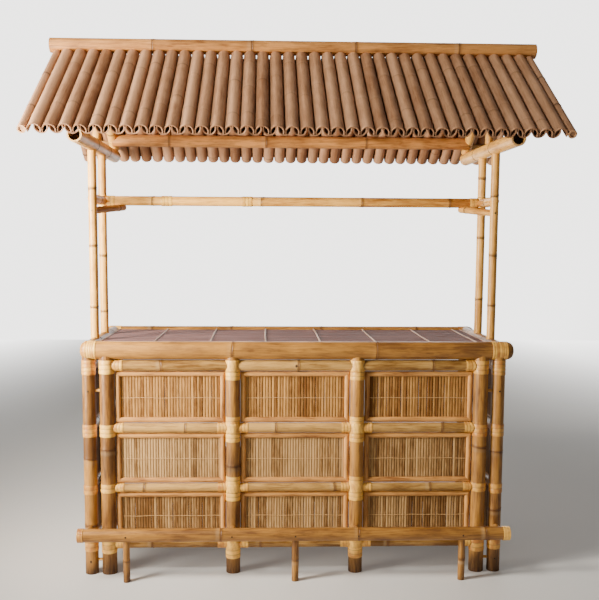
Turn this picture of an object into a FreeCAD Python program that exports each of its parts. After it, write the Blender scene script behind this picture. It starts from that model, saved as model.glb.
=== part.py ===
import FreeCAD, Part
import math
import os
from FreeCAD import Vector

# A free-standing bamboo bar: a counter with a panelled front and sides, four
# posts, and a pitched roof of split bamboo tiles. Millimetres. X runs to the
# right of someone facing the front, Y runs to the back, Z up. The origin is on
# the floor, under the middle of the roof.

# Fits
JOINT_GAP = 0.3            # between a shaped pole end and the pole that it sits on
DOWEL_GAP = 0.3            # all round a dowel or a nail in its hole
OVERRUN = 5.0              # how far a bore or a cutter runs past what it cuts

# Counter: places
COUNTER_HEIGHT = 1112.0    # floor to the crown of the top rails
FRONT_Y = -284.0           # line of the front legs and the front top rail
COUNTER_DEPTH = 690.0      # front line to rear line
SIDE_X = 964.0             # line of the side panels, the roof posts and the tie beams
END_POST_X = 880.0         # end posts of the front panel
MID_POST_X = 293.0         # middle posts of the front panel

# Counter: poles
TOP_RAIL_D = 84.0
TOP_RAIL_WALL = 10.0
FRONT_RAIL_LEFT = 1000.0   # from the middle to the left end of the front top rail
FRONT_RAIL_RIGHT = 1029.0  # its right end stands out further
REAR_RAIL_REACH = 1011.0
END_DOME = 30.0            # the closed, rounded end of a top rail
SIDE_RAIL_D = 62.0
SIDE_RAIL_WALL = 8.0
LEG_D = 62.0
END_POST_D = 70.0
MID_POST_D = 66.0
POST_WALL = 8.0
PANEL_LEVELS = (999.0, 702.0, 414.0, 142.0)
PANEL_RAIL_D = (52.0, 46.0, 40.0, 44.0)
PANEL_RAIL_WALL = 6.0

# Counter: panels
MAT_THICK = 5.0
MAT_FACE = 4.0             # the front of a mat, behind the line of its posts
MOULDING_W = 25.0

# Counter: top
SLAT_COUNT = 18
SLAT_THICK = 8.0
SLAT_GAP = 0.8
SLAT_DROP = 14.0           # the slats lie this far under the rails' crown
STRIP_PITCH = 264.5
STRIP_SHIFT = 123.5        # the middle strip is off centre by this much
STRIPS_EACH_WAY = 3
LAST_STRIP_X = 880.0       # the last strip is nearer than the pitch
STRIP_W = 9.0
END_STRIP_W = 8.0
BEARER_D = 28.0
BEARER_WALL = 5.0

# Counter: shelf at the back
SHELF_RAIL_D = 46.0
SHELF_SLATS = 10
SHELF_SLAT_W = 54.0
SHELF_BEARER_D = 34.0

# Foot rail
FOOT_RAIL_D = 62.0
FOOT_RAIL_WALL = 7.0
FOOT_RAIL_REACH = 1005.0
FOOT_RAIL_STANDOFF = 115.0  # in front of the legs' line
FOOT_RAIL_Z = 222.0
SUPPORT_X = 781.0
SUPPORT_D = 32.0
SUPPORT_WALL = 5.0

# Dowels and nails
DOWEL_D = 14.0
DOWEL_LEVELS = (880.0, 65.0)
NAIL_HEAD_D = 8.0
NAIL_HEAD_THICK = 1.5
NAIL_SHANK_D = 3.0
NAIL_REACH = 18.0

# Roof posts and the rails between them
ROOF_POST_D = 41.0
ROOF_POST_WALL = 6.0
ROOF_POST_Y = 124.0        # each side of the roof's middle
UPPER_RAIL_Z = 1777.0
UPPER_RAIL_D = 48.0
UPPER_RAIL_WALL = 5.0
UPPER_SIDE_RAIL_D = 46.0
BRACE_D = 33.0
BRACE_WALL = 5.0
BRACE_FRONT_Z = 1719.0
BRACE_INNER_X = 872.0      # where a brace passes under the upper rail
BRACE_PAST = 26.0          # its end stands out behind the rail
BRACE_BITE = 6.0           # how deep the rail lies in the brace

# Roof frame
PITCH = math.radians(34.5)
TIE_BEAM_D = 66.0
TIE_BEAM_WALL = 8.0
TIE_BEAM_REACH = 490.0
TIE_BEAM_Z = 2032.0
PLATE_D = 64.0
PLATE_WALL = 8.0
PLATE_Y = 442.0
PLATE_Z = 2111.0
LATH_THICK = 8.0
LATH_W = 30.0
LATH_PLACES = (150.0, 300.0, 505.0)
LATH_INSET = 12.0          # the laths and the ridge beam end inside the gable edges
RAFTER_WALL = 6.0
RAFTER_FOOT_Y = 500.0
KING_POST_D = 42.0
RIDGE_BEAM_D = 60.0

# Roof covering
TILE_D = 59.0
TILE_WALL = 5.5
TILE_RIM = 20.0            # degrees that a tile's edge passes the half round
TILE_PITCH = 62.5
CAP_COUNT = 36
EAVE_Y = 638.0             # lower edge of the tiles' undersides
EDGE_POLE_D = 38.0
EDGE_GAP = 1.0             # between the last cap and the edge pole
RIDGE_POLE_D = 70.0
RIDGE_POLE_WALL = 8.0
RIDGE_POLE_PAST = 15.0     # the ridge pole ends outside them
RIDGE_CLEAR = 1.0          # each side of the middle, between the two slopes

# Rattan bindings
WRAP_THICK = 2.0           # from a pole to the outside of its binding
RAIL_WRAP = 40.0           # length of a binding at a rail's end
END_POST_WRAPS = ((960.0, 1026.0), (661.0, 721.0), (394.0, 437.0), (101.0, 185.0))
MID_POST_WRAPS = ((931.0, 1026.0), (636.0, 758.0), (353.0, 471.0), (72.0, 212.0))
LEG_WRAPS = ((955.0, 1026.0), (661.0, 721.0), (385.0, 432.0), (110.0, 175.0))
CORNER_WRAP = 78.0         # along a top rail, over each leg
UPPER_WRAPS = ((-668.0, -613.0), (-260.0, -209.0))
POST_WRAP = 60.0           # round a rear roof post, over its rail
FOOT_WRAP = 36.0           # round a rafter's foot
FOOT_RAIL_WRAPS = (28.0, 33.0)  # round the foot rail's left and right ends

# Worked out
REAR_Y = FRONT_Y + COUNTER_DEPTH
TOP_RAIL_Z = COUNTER_HEIGHT - TOP_RAIL_D / 2
SIDE_RAIL_Z = COUNTER_HEIGHT - SIDE_RAIL_D / 2
SLAT_TOP = COUNTER_HEIGHT - SLAT_DROP
SLAT_BOTTOM = SLAT_TOP - SLAT_THICK
BEARER_Z = SLAT_BOTTOM - BEARER_D / 2
MOULDING_R = MOULDING_W / 2
FOOT_RAIL_Y = FRONT_Y - FOOT_RAIL_STANDOFF
RAFTER_D = PLATE_D - 2 * LATH_THICK
EDGE_X = TILE_PITCH * (CAP_COUNT - 1) / 2 + TILE_D / 2 + EDGE_GAP + EDGE_POLE_D / 2
ROOF_HALF = EDGE_X + EDGE_POLE_D / 2
FRAME_REACH = ROOF_HALF - LATH_INSET
RIDGE_POLE_REACH = ROOF_HALF + RIDGE_POLE_PAST
ROOF_APEX = PLATE_Z + PLATE_D / 2 / math.cos(PITCH) + PLATE_Y * math.tan(PITCH)
STRIP_PLACES = [STRIP_SHIFT + STRIP_PITCH * n for n in range(-STRIPS_EACH_WAY, STRIPS_EACH_WAY)] + [LAST_STRIP_X]

nodes = {}


def rod(start, end, diameter):
    """A solid round bar between two points."""
    line = end - start
    return Part.makeCylinder(diameter / 2, line.Length, start, line)


def cut_all(shape, cutters):
    """The shape with every cutter taken out."""
    return shape.cut(list(cutters)) if cutters else shape


class Pole:
    """A bamboo pole: its centre line, diameter and wall."""

    def __init__(self, start, end, diameter, wall):
        self.start = start
        self.end = end
        self.diameter = diameter
        self.wall = wall
        self.way = Vector(end - start).normalize()

    def envelope(self):
        """The space that the pole fills, with the joint gap round it."""
        run = self.way * OVERRUN
        return rod(self.start - run, self.end + run, self.diameter + 2 * JOINT_GAP)

    def solid(self, *neighbours):
        """The hollow pole, its ends shaped to sit on the neighbours."""
        run = self.way * OVERRUN
        bore = rod(self.start - run, self.end + run, self.diameter - 2 * self.wall)
        cutters = [bore] + [other.envelope() for other in neighbours]
        return keep_largest(rod(self.start, self.end, self.diameter).cut(cutters))

    def wrap(self, low, high):
        """A binding round the pole, between two distances from its start."""
        outer = rod(self.start + self.way * low, self.start + self.way * high,
                    self.diameter + 2 * WRAP_THICK)
        return outer.cut(rod(self.start, self.end, self.diameter + 2 * JOINT_GAP))

    def wrap_space(self):
        """The space that the pole and its bindings fill."""
        return rod(self.start, self.end, self.diameter + 2 * WRAP_THICK)


def keep_largest(shape):
    """The largest solid of a cut shape, without the slivers that a saddle leaves."""
    return max(shape.Solids, key=lambda solid: solid.Volume)


def add(name, *shapes):
    """Put solids into a named node."""
    nodes.setdefault(name, []).extend(shapes)


def box(low, high):
    """A block between two corners."""
    size = high - low
    return Part.makeBox(size.x, size.y, size.z, low)


def along_x(left, right, y, z, diameter, wall):
    return Pole(Vector(left, y, z), Vector(right, y, z), diameter, wall)


def along_y(x, front, back, z, diameter, wall):
    return Pole(Vector(x, front, z), Vector(x, back, z), diameter, wall)


def upright(x, y, bottom, top, diameter, wall):
    return Pole(Vector(x, y, bottom), Vector(x, y, top), diameter, wall)


def domed_rail(rail):
    """A top rail whose bore stops short of its rounded, closed ends."""
    radius = rail.diameter / 2
    flat = radius - END_DOME
    left, right = rail.start.x, rail.end.x
    across = END_DOME * math.sqrt(0.5)

    def at(x, r):
        return Vector(x, 0, r)

    skin = Part.Wire([
        Part.LineSegment(at(left, 0), at(left, flat)).toShape(),
        Part.Arc(at(left, flat), at(left + END_DOME - across, flat + across),
                 at(left + END_DOME, radius)).toShape(),
        Part.LineSegment(at(left + END_DOME, radius), at(right - END_DOME, radius)).toShape(),
        Part.Arc(at(right - END_DOME, radius), at(right - END_DOME + across, flat + across),
                 at(right, flat)).toShape(),
        Part.LineSegment(at(right, flat), at(right, 0)).toShape(),
        Part.LineSegment(at(right, 0), at(left, 0)).toShape(),
    ])
    body = Part.Face(skin).revolve(Vector(0, 0, 0), Vector(1, 0, 0), 360)
    bore = rod(at(left + END_DOME, 0), at(right - END_DOME, 0), 2 * (radius - rail.wall))
    shape = body.cut(bore)
    shape.translate(Vector(0, rail.start.y, rail.start.z))
    return shape.Solids[0]


def nail(point, inward):
    """A nail whose head lies on a pole at the point and whose shank goes inward."""
    head = rod(point - inward * NAIL_HEAD_THICK, point, NAIL_HEAD_D)
    return head.fuse(rod(point, point + inward * NAIL_REACH, NAIL_SHANK_D)).removeSplitter()


def nail_hole(point, inward):
    """The hole for a nail's shank, with a flat for its head."""
    start = point - inward * OVERRUN
    shank = rod(start, point + inward * (NAIL_REACH + DOWEL_GAP), NAIL_SHANK_D + 2 * DOWEL_GAP)
    return shank.fuse(rod(start, point, NAIL_HEAD_D + 2 * DOWEL_GAP))


# Poles of the counter
front_rail = along_x(-FRONT_RAIL_LEFT, FRONT_RAIL_RIGHT, FRONT_Y, TOP_RAIL_Z, TOP_RAIL_D, TOP_RAIL_WALL)
rear_rail = along_x(-REAR_RAIL_REACH, REAR_RAIL_REACH, REAR_Y, TOP_RAIL_Z, TOP_RAIL_D, TOP_RAIL_WALL)
side_rails = {side: along_y(sign * SIDE_X, FRONT_Y, REAR_Y, SIDE_RAIL_Z, SIDE_RAIL_D, SIDE_RAIL_WALL)
              for side, sign in (("left", -1), ("right", 1))}
front_legs = {side: upright(sign * SIDE_X, FRONT_Y, 0, TOP_RAIL_Z, LEG_D, POST_WALL)
              for side, sign in (("left", -1), ("right", 1))}
rear_legs = {side: upright(sign * SIDE_X, REAR_Y, 0, TOP_RAIL_Z, LEG_D, POST_WALL)
             for side, sign in (("left", -1), ("right", 1))}
panel_posts = [upright(x, FRONT_Y, 0, TOP_RAIL_Z, d, POST_WALL)
               for x, d in ((-END_POST_X, END_POST_D), (-MID_POST_X, MID_POST_D),
                            (MID_POST_X, MID_POST_D), (END_POST_X, END_POST_D))]
foot_rail = along_x(-FOOT_RAIL_REACH, FOOT_RAIL_REACH, FOOT_RAIL_Y, FOOT_RAIL_Z, FOOT_RAIL_D,
                    FOOT_RAIL_WALL)
front_face = FRONT_Y - LEG_D / 2
foot_face = FOOT_RAIL_Y - FOOT_RAIL_D / 2
top_bearers = [along_y(x, FRONT_Y, REAR_Y, BEARER_Z, BEARER_D, BEARER_WALL) for x in STRIP_PLACES]
nail_points = []


def dowels():
    """Pegs that join each front leg to the end post of the front panel beside it."""
    pegs = []
    for sign in (-1, 1):
        for level in DOWEL_LEVELS:
            inner = Vector(sign * (END_POST_X - END_POST_D / 2 + POST_WALL + OVERRUN), FRONT_Y, level)
            outer = Vector(sign * (SIDE_X + LEG_D / 2 - POST_WALL - OVERRUN), FRONT_Y, level)
            pegs.append((inner, outer))
            nail_points.append((Vector(sign * SIDE_X, front_face, level), Vector(0, 1, 0)))
    return pegs


def dowel_holes(pegs):
    """Drilled only through the walls that face each other."""
    holes = []
    for inner, outer in pegs:
        way = Vector(outer - inner).normalize()
        holes.append(rod(inner - way * DOWEL_GAP, outer + way * DOWEL_GAP, DOWEL_D + 2 * DOWEL_GAP))
    return holes


def make_counter_frame():
    """Top rails, legs and the pegs between the front panel and the side panels."""
    pegs = dowels()
    holes = dowel_holes(pegs)
    add("counter_front_rail", domed_rail(front_rail))
    add("counter_rear_rail", domed_rail(rear_rail))
    add("joining_dowels", *[rod(inner, outer, DOWEL_D) for inner, outer in pegs])
    for side in ("left", "right"):
        add("counter_side_rail_" + side, side_rails[side].solid(front_rail, rear_rail))
        leg = front_legs[side].solid(front_rail, side_rails[side])
        leg_nails = [nail_hole(*spot) for spot in nail_points]
        add("front_leg_" + side, leg.cut(holes + leg_nails))
        add("rear_leg_" + side, rear_legs[side].solid(rear_rail, side_rails[side]))
    return holes


def panel_rail_poles(first, last):
    """Four rails that join two posts, from one centre line to the other."""
    return [Pole(Vector(first.start.x, first.start.y, z), Vector(last.start.x, last.start.y, z), d,
                 PANEL_RAIL_WALL) for z, d in zip(PANEL_LEVELS, PANEL_RAIL_D)]


def moulding_frame(left, right, bottom, top):
    """Four half-round mouldings with mitred corners, flat side at y = 0, facing -Y."""
    def mitred(start, end, inset_start, inset_end):
        half = rod(start, end, MOULDING_W).common(
            box(Vector(left, -MOULDING_W, bottom), Vector(right, 0, top)))
        outline = Part.makePolygon([*corners(inset_start, inset_end)])
        keep = Part.Face(outline).extrude(Vector(0, -MOULDING_W, 0))
        return half.common(keep)

    def corners(near, far):
        return near + far + near[:1]

    r = MOULDING_R
    w = MOULDING_W
    a, b, c, d = (Vector(left, 0, bottom), Vector(right, 0, bottom), Vector(right, 0, top),
                  Vector(left, 0, top))
    e, f, g, h = (Vector(left + w, 0, bottom + w), Vector(right - w, 0, bottom + w),
                  Vector(right - w, 0, top - w), Vector(left + w, 0, top - w))
    return [
        mitred(Vector(left, 0, bottom + r), Vector(right, 0, bottom + r), [a, b], [f, e]),
        mitred(Vector(left, 0, top - r), Vector(right, 0, top - r), [d, c], [g, h]),
        mitred(Vector(left + r, 0, bottom), Vector(left + r, 0, top), [a, d], [h, e]),
        mitred(Vector(right - r, 0, bottom), Vector(right - r, 0, top), [b, c], [g, f]),
    ]


def bound_reach(pole, off_axis):
    """How far a pole and its bindings reach sideways, at a distance from its middle plane."""
    return math.sqrt((pole.diameter / 2 + WRAP_THICK) ** 2 - off_axis ** 2) + JOINT_GAP


def panel_bay(first, last, outward):
    """Rails, three mats and three moulding frames between two posts.

    outward is the turn about Z that takes the panel's front from -Y to its own side.
    """
    rails = panel_rail_poles(first, last)
    span = (last.start - first.start).Length
    depth = MAT_FACE
    left = bound_reach(first, depth)
    right = span - bound_reach(last, depth)
    mats = []
    frames = []
    for upper, lower in zip(rails[:-1], rails[1:]):
        top = upper.start.z - bound_reach(upper, depth)
        bottom = lower.start.z + bound_reach(lower, depth)
        rim = MOULDING_R
        mats.append(box(Vector(left + rim, depth, bottom + rim),
                        Vector(right - rim, depth + MAT_THICK, top - rim)))
        for piece in moulding_frame(left, right, bottom, top):
            piece.translate(Vector(0, depth, 0))
            frames.append(piece)
    base = Vector(first.start.x, first.start.y, 0)
    for piece in mats + frames:
        piece.rotate(Vector(0, 0, 0), Vector(0, 0, 1), outward)
        piece.translate(base)
    return rails, mats, frames


def rail_end_wraps(rail, first, last):
    """Bindings round both ends of a rail, clear of the posts' own bindings."""
    length = (rail.end - rail.start).Length
    near = first.diameter / 2 + WRAP_THICK
    far = length - last.diameter / 2 - WRAP_THICK
    return [rail.wrap(0, near + RAIL_WRAP).cut(first.wrap_space()),
            rail.wrap(far - RAIL_WRAP, length).cut(last.wrap_space())]


def post_wraps(post, levels, crossing):
    """Bindings round an upright, cut round the rails that meet it there."""
    cutters = [rail.envelope() for rail in crossing]
    return [keep_largest(cut_all(post.wrap(low, high), cutters)) for low, high in levels]


def make_panels(holes):
    """The front panel's three bays and one bay in each side."""
    names = ("left", "middle", "right")
    front_rails = []
    for name, first, last in zip(names, panel_posts[:-1], panel_posts[1:]):
        rails, mats, frames = panel_bay(first, last, 0)
        front_rails.extend(rails)
        add("front_mats", *mats)
        add("front_mouldings", *frames)
        for rail in rails:
            near, far = rail_end_wraps(rail, first, last)
            add("front_panel_rails", rail.solid(first, last))
            top = rail.start.z == PANEL_LEVELS[0]
            bound = [(first, near), (last, far)]
            add("rail_end_wraps", *[ring for post, ring in bound if not (top and post.diameter == MID_POST_D)])
    for number, post in enumerate(panel_posts, 1):
        solid = post.solid(front_rail)
        if post.diameter == END_POST_D:
            solid = solid.cut(holes)
        add("front_panel_post_%d" % number, solid)
        if post.diameter == END_POST_D:
            add("post_wraps", *post_wraps(post, END_POST_WRAPS, front_rails))
        else:
            crossing = front_rails + [foot_spacer(post.start.x)]
            add("post_wraps", *post_wraps(post, MID_POST_WRAPS, crossing))
    for side, turn in (("left", -90), ("right", 90)):
        first, last = (rear_legs, front_legs) if side == "left" else (front_legs, rear_legs)
        rails, mats, frames = panel_bay(first[side], last[side], turn)
        add("side_mats", *mats)
        add("side_mouldings", *frames)
        for rail in rails:
            add("side_panel_rails_" + side, rail.solid(first[side], last[side]))
            add("rail_end_wraps", *rail_end_wraps(rail, first[side], last[side]))
        crossing = rails + [front_rail, rear_rail, side_rails[side], foot_spacer(front_legs[side].start.x)]
        add("leg_wraps", *post_wraps(front_legs[side], LEG_WRAPS, crossing),
            *post_wraps(rear_legs[side], LEG_WRAPS, crossing + [shelf_rail, rear_bottom_rail]))


shelf_rail = along_x(-SIDE_X, SIDE_X, REAR_Y, PANEL_LEVELS[2], SHELF_RAIL_D, PANEL_RAIL_WALL)
rear_bottom_rail = along_x(-SIDE_X, SIDE_X, REAR_Y, PANEL_LEVELS[3], PANEL_RAIL_D[3], PANEL_RAIL_WALL)


def foot_spacer(x):
    """A short pole that holds the foot rail off a leg or a post."""
    return along_y(x, FOOT_RAIL_Y, FRONT_Y, FOOT_RAIL_Z, SUPPORT_D, SUPPORT_WALL)


def make_corner_wraps():
    """Broad bindings round the top rails over the legs."""
    cutters = [pole.wrap_space() for group in (front_legs, rear_legs) for pole in group.values()]
    cutters += [pole.envelope() for pole in side_rails.values()]
    cutters += [post.wrap_space() for post in panel_posts]
    cutters += [bearer.envelope() for bearer in top_bearers]
    for rail in (front_rail, rear_rail):
        for sign in (-1, 1):
            middle = sign * SIDE_X - rail.start.x
            low = middle - CORNER_WRAP / 2
            high = middle + CORNER_WRAP / 2
            if sign < 0:
                low = max(low, END_DOME)
            else:
                high = min(high, (rail.end - rail.start).Length - END_DOME)
            add("corner_wraps", keep_largest(rail.wrap(low, high).cut(cutters)))


def make_counter_top():
    """Bearers, flattened slats and the thin strips that hold them down."""
    for bearer in top_bearers:
        add("counter_top_bearers", bearer.solid(front_rail, rear_rail))
    rail_side = bound_reach(front_rail, SLAT_BOTTOM - TOP_RAIL_Z)
    front, back = FRONT_Y + rail_side, REAR_Y - rail_side
    reach = SIDE_X - bound_reach(side_rails["right"], SLAT_BOTTOM - SIDE_RAIL_Z)
    pitch = (back - front) / SLAT_COUNT
    for n in range(SLAT_COUNT):
        start = front + pitch * n
        add("counter_top_slats", box(Vector(-reach, start, SLAT_BOTTOM),
                                     Vector(reach, start + pitch - SLAT_GAP, SLAT_TOP)))
    end = reach - END_STRIP_W / 2
    for x, width in [(x, STRIP_W) for x in STRIP_PLACES] + [(-end, END_STRIP_W), (end, END_STRIP_W)]:
        strip = rod(Vector(x, front, SLAT_TOP), Vector(x, back, SLAT_TOP), width)
        add("counter_top_strips", strip.common(box(Vector(x - width, front, SLAT_TOP),
                                                   Vector(x + width, back, COUNTER_HEIGHT))))


def make_shelf():
    """A slatted shelf behind the front panel, and the low rail at the back."""
    add("shelf_rail", shelf_rail.solid(rear_legs["left"], rear_legs["right"]))
    add("rear_bottom_rail", rear_bottom_rail.solid(rear_legs["left"], rear_legs["right"]))
    for post in panel_posts:
        bearer = along_y(post.start.x, FRONT_Y, REAR_Y, PANEL_LEVELS[2], SHELF_BEARER_D, BEARER_WALL)
        solid = keep_largest(bearer.solid(post, shelf_rail).cut(post.wrap_space()))
        add("shelf_bearers", solid)
    top = PANEL_LEVELS[2] + SHELF_BEARER_D / 2
    front = FRONT_Y + END_POST_D / 2 + WRAP_THICK + JOINT_GAP
    back = REAR_Y - math.sqrt((SHELF_RAIL_D / 2) ** 2 - (top - PANEL_LEVELS[2]) ** 2) - JOINT_GAP
    reach = SIDE_X - LEG_D / 2 - WRAP_THICK - JOINT_GAP
    pitch = (back - front - SHELF_SLAT_W) / (SHELF_SLATS - 1)
    for n in range(SHELF_SLATS):
        start = front + pitch * n
        add("shelf_slats", box(Vector(-reach, start, top),
                               Vector(reach, start + SHELF_SLAT_W, top + SLAT_THICK)))


def make_foot_rail():
    """The rail for feet, its spacers from the legs and its three supports."""
    spots = [Vector(x, foot_face, FOOT_RAIL_Z) for x in (-SUPPORT_X, 0, SUPPORT_X, -MID_POST_X, MID_POST_X)]
    nail_points.extend((spot, Vector(0, 1, 0)) for spot in spots)
    rail = foot_rail.solid().cut([nail_hole(spot, Vector(0, 1, 0)) for spot in spots])
    add("foot_rail", rail)
    for x in (-SUPPORT_X, 0, SUPPORT_X):
        support = upright(x, FOOT_RAIL_Y, 0, FOOT_RAIL_Z, SUPPORT_D, SUPPORT_WALL)
        add("foot_rail_supports", support.solid(foot_rail))
    for post in list(front_legs.values()) + panel_posts[1:3]:
        add("foot_rail_spacers", foot_spacer(post.start.x).solid(foot_rail, post))
    length = (foot_rail.end - foot_rail.start).Length
    left, right = FOOT_RAIL_WRAPS
    end_spacers = [foot_spacer(leg.start.x).envelope() for leg in front_legs.values()]
    for low, high in ((0, left), (length - right, length)):
        add("foot_rail_wraps", foot_rail.wrap(low, high).cut(end_spacers))


# Poles of the roof frame
roof_posts = {(row, side): upright(sx * SIDE_X, sy * ROOF_POST_Y, SIDE_RAIL_Z, TIE_BEAM_Z, ROOF_POST_D,
                                   ROOF_POST_WALL)
              for row, sy in (("front", -1), ("rear", 1)) for side, sx in (("left", -1), ("right", 1))}
upper_rail = along_x(-SIDE_X, SIDE_X, ROOF_POST_Y, UPPER_RAIL_Z, UPPER_RAIL_D, UPPER_RAIL_WALL)
tie_beams = {side: along_y(sx * SIDE_X, -TIE_BEAM_REACH, TIE_BEAM_REACH, TIE_BEAM_Z, TIE_BEAM_D,
                           TIE_BEAM_WALL) for side, sx in (("left", -1), ("right", 1))}
ridge_beam = along_x(-FRAME_REACH, FRAME_REACH, 0,
                     ROOF_APEX - RIDGE_BEAM_D / 2 / math.cos(PITCH), RIDGE_BEAM_D, PANEL_RAIL_WALL)


def on_slope(x, down, height, sign):
    """A point on a roof slope, down it from the apex and square above the tiles' undersides."""
    out = down * math.cos(PITCH) + height * math.sin(PITCH)
    return Vector(x, sign * out, ROOF_APEX - down * math.sin(PITCH) + height * math.cos(PITCH))


def down_to(y, height=0.0):
    """How far down the slope a point lies that is y out from the middle."""
    return (y - height * math.sin(PITCH)) / math.cos(PITCH)


def make_upper_frame():
    """Roof posts, the rails between them and the two corner braces."""
    for (row, side), post in roof_posts.items():
        solid = post.solid(side_rails[side], tie_beams[side])
        if row == "front":
            sign = -1 if side == "left" else 1
            spot = Vector(sign * SIDE_X, -ROOF_POST_Y - ROOF_POST_D / 2, BRACE_FRONT_Z)
            nail_points.append((spot, Vector(0, 1, 0)))
            solid = solid.cut(nail_hole(spot, Vector(0, 1, 0)))
        add("roof_post_%s_%s" % (row, side), solid)
    add("upper_rail", upper_rail.solid(roof_posts["rear", "left"], roof_posts["rear", "right"]))
    for side, sign in (("left", -1), ("right", 1)):
        front, rear = roof_posts["front", side], roof_posts["rear", side]
        tie = along_y(sign * SIDE_X, -ROOF_POST_Y, ROOF_POST_Y, UPPER_RAIL_Z, UPPER_SIDE_RAIL_D,
                      UPPER_RAIL_WALL)
        cut_back = keep_largest(tie.solid(front, rear, upper_rail).cut(rear.wrap_space()))
        add("upper_side_rails", cut_back)
        under = UPPER_RAIL_Z - UPPER_RAIL_D / 2 - BRACE_D / 2 + BRACE_BITE
        start = Vector(sign * SIDE_X, -ROOF_POST_Y, BRACE_FRONT_Z)
        under_rail = Vector(sign * BRACE_INNER_X, ROOF_POST_Y, under)
        way = Vector(under_rail - start).normalize()
        brace = Pole(start, under_rail + way * BRACE_PAST, BRACE_D, BRACE_WALL)
        add("corner_braces", brace.solid(front, upper_rail))


def make_upper_wraps():
    """Bindings on the upper rail and round the rear roof posts."""
    length = 2 * SIDE_X
    posts = [roof_posts["rear", side] for side in ("left", "right")]
    end = ROOF_POST_D / 2 + WRAP_THICK + RAIL_WRAP
    spans = [(0, end), (length - end, length)]
    spans += [(low + SIDE_X, high + SIDE_X) for low, high in UPPER_WRAPS]
    cutters = [post.wrap_space() for post in posts]
    cutters += nodes["corner_braces"] + nodes["upper_side_rails"]
    for low, high in spans:
        add("upper_frame_wraps", keep_largest(upper_rail.wrap(low, high).cut(cutters)))
    middle = UPPER_RAIL_Z - SIDE_RAIL_Z
    for post in posts:
        ring = post.wrap(middle - POST_WRAP / 2, middle + POST_WRAP / 2)
        add("upper_frame_wraps", keep_largest(ring.cut([upper_rail.envelope()])))


def make_trusses():
    """Tie beam, king post and two rafters at each end, with the beams that join them."""
    height = -LATH_THICK - RAFTER_D / 2
    half_room = box(Vector(-2 * SIDE_X, -2 * EAVE_Y, 0), Vector(2 * SIDE_X, -RIDGE_CLEAR, 2 * ROOF_APEX))
    plates = {}
    for row, sign in (("front", -1), ("rear", 1)):
        plates[row] = along_x(-SIDE_X, SIDE_X, sign * PLATE_Y, PLATE_Z, PLATE_D, PLATE_WALL)
    rafters = []
    for side, sx in (("left", -1), ("right", 1)):
        beam = tie_beams[side]
        add("tie_beam_" + side, beam.solid())
        pair = []
        for sign in (-1, 1):
            top = on_slope(sx * SIDE_X, down_to(0, height), height, sign)
            foot = on_slope(sx * SIDE_X, down_to(RAFTER_FOOT_Y, height), height, sign)
            rafter = Pole(top, foot, RAFTER_D, RAFTER_WALL)
            pair.append(rafter)
            room = half_room if sign < 0 else half_room.mirror(Vector(0, 0, 0), Vector(0, 1, 0))
            add("rafters", keep_largest(rafter.solid(beam, ridge_beam).common(room)))
            length = (foot - top).Length
            ring = rafter.wrap(length - 2 * FOOT_WRAP, length - FOOT_WRAP)
            row = "front" if sign < 0 else "rear"
            add("rafter_foot_wraps", keep_largest(ring.cut([plates[row].envelope(), beam.envelope()])))
        rafters.extend(pair)
        king = upright(sx * SIDE_X, 0, TIE_BEAM_Z, ROOF_APEX - RIDGE_BEAM_D / 2, KING_POST_D, BEARER_WALL)
        add("king_posts", king.solid(beam, ridge_beam, *pair))
    for row in ("front", "rear"):
        add(row + "_plate", plates[row].solid(*rafters))
    add("ridge_beam", ridge_beam.solid())


def tile_section(width, wall, rim, lift):
    """Half-round tile section in the XZ plane, crown up, its edges past the half round."""
    outer = width / 2
    inner = outer - wall
    low = -math.radians(rim)

    def at(radius, angle):
        return Vector(radius * math.cos(angle), 0, lift + radius * math.sin(angle))

    top = math.pi / 2
    wire = Part.Wire([
        Part.Arc(at(outer, low), at(outer, top), at(outer, math.pi - low)).toShape(),
        Part.LineSegment(at(outer, math.pi - low), at(inner, math.pi - low)).toShape(),
        Part.Arc(at(inner, math.pi - low), at(inner, top), at(inner, low)).toShape(),
        Part.LineSegment(at(inner, low), at(outer, low)).toShape(),
    ])
    return Part.Face(wire)


def cap_lift():
    """Height of a cap's axis over a pan's axis when the cap's edges sit in the pans."""
    outer = TILE_D / 2
    inner = outer - TILE_WALL
    rim = math.radians(TILE_RIM)
    offset = TILE_PITCH / 2 - outer * math.cos(rim)
    seat = -math.sqrt(inner ** 2 - offset ** 2)
    return seat + outer * math.sin(rim) + JOINT_GAP


def lay_on_slope(shape, x, start, sign):
    """Take a shape made along +Y at height 0 to a roof slope, its start at the ridge end."""
    shape.rotate(Vector(0, 0, 0), Vector(1, 0, 0), -math.degrees(PITCH))
    base = on_slope(0, start, 0, 1)
    shape.translate(base)
    if sign < 0:
        shape.rotate(Vector(0, 0, 0), Vector(0, 0, 1), 180)
    shape.translate(Vector(x, 0, 0))
    return shape


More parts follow.
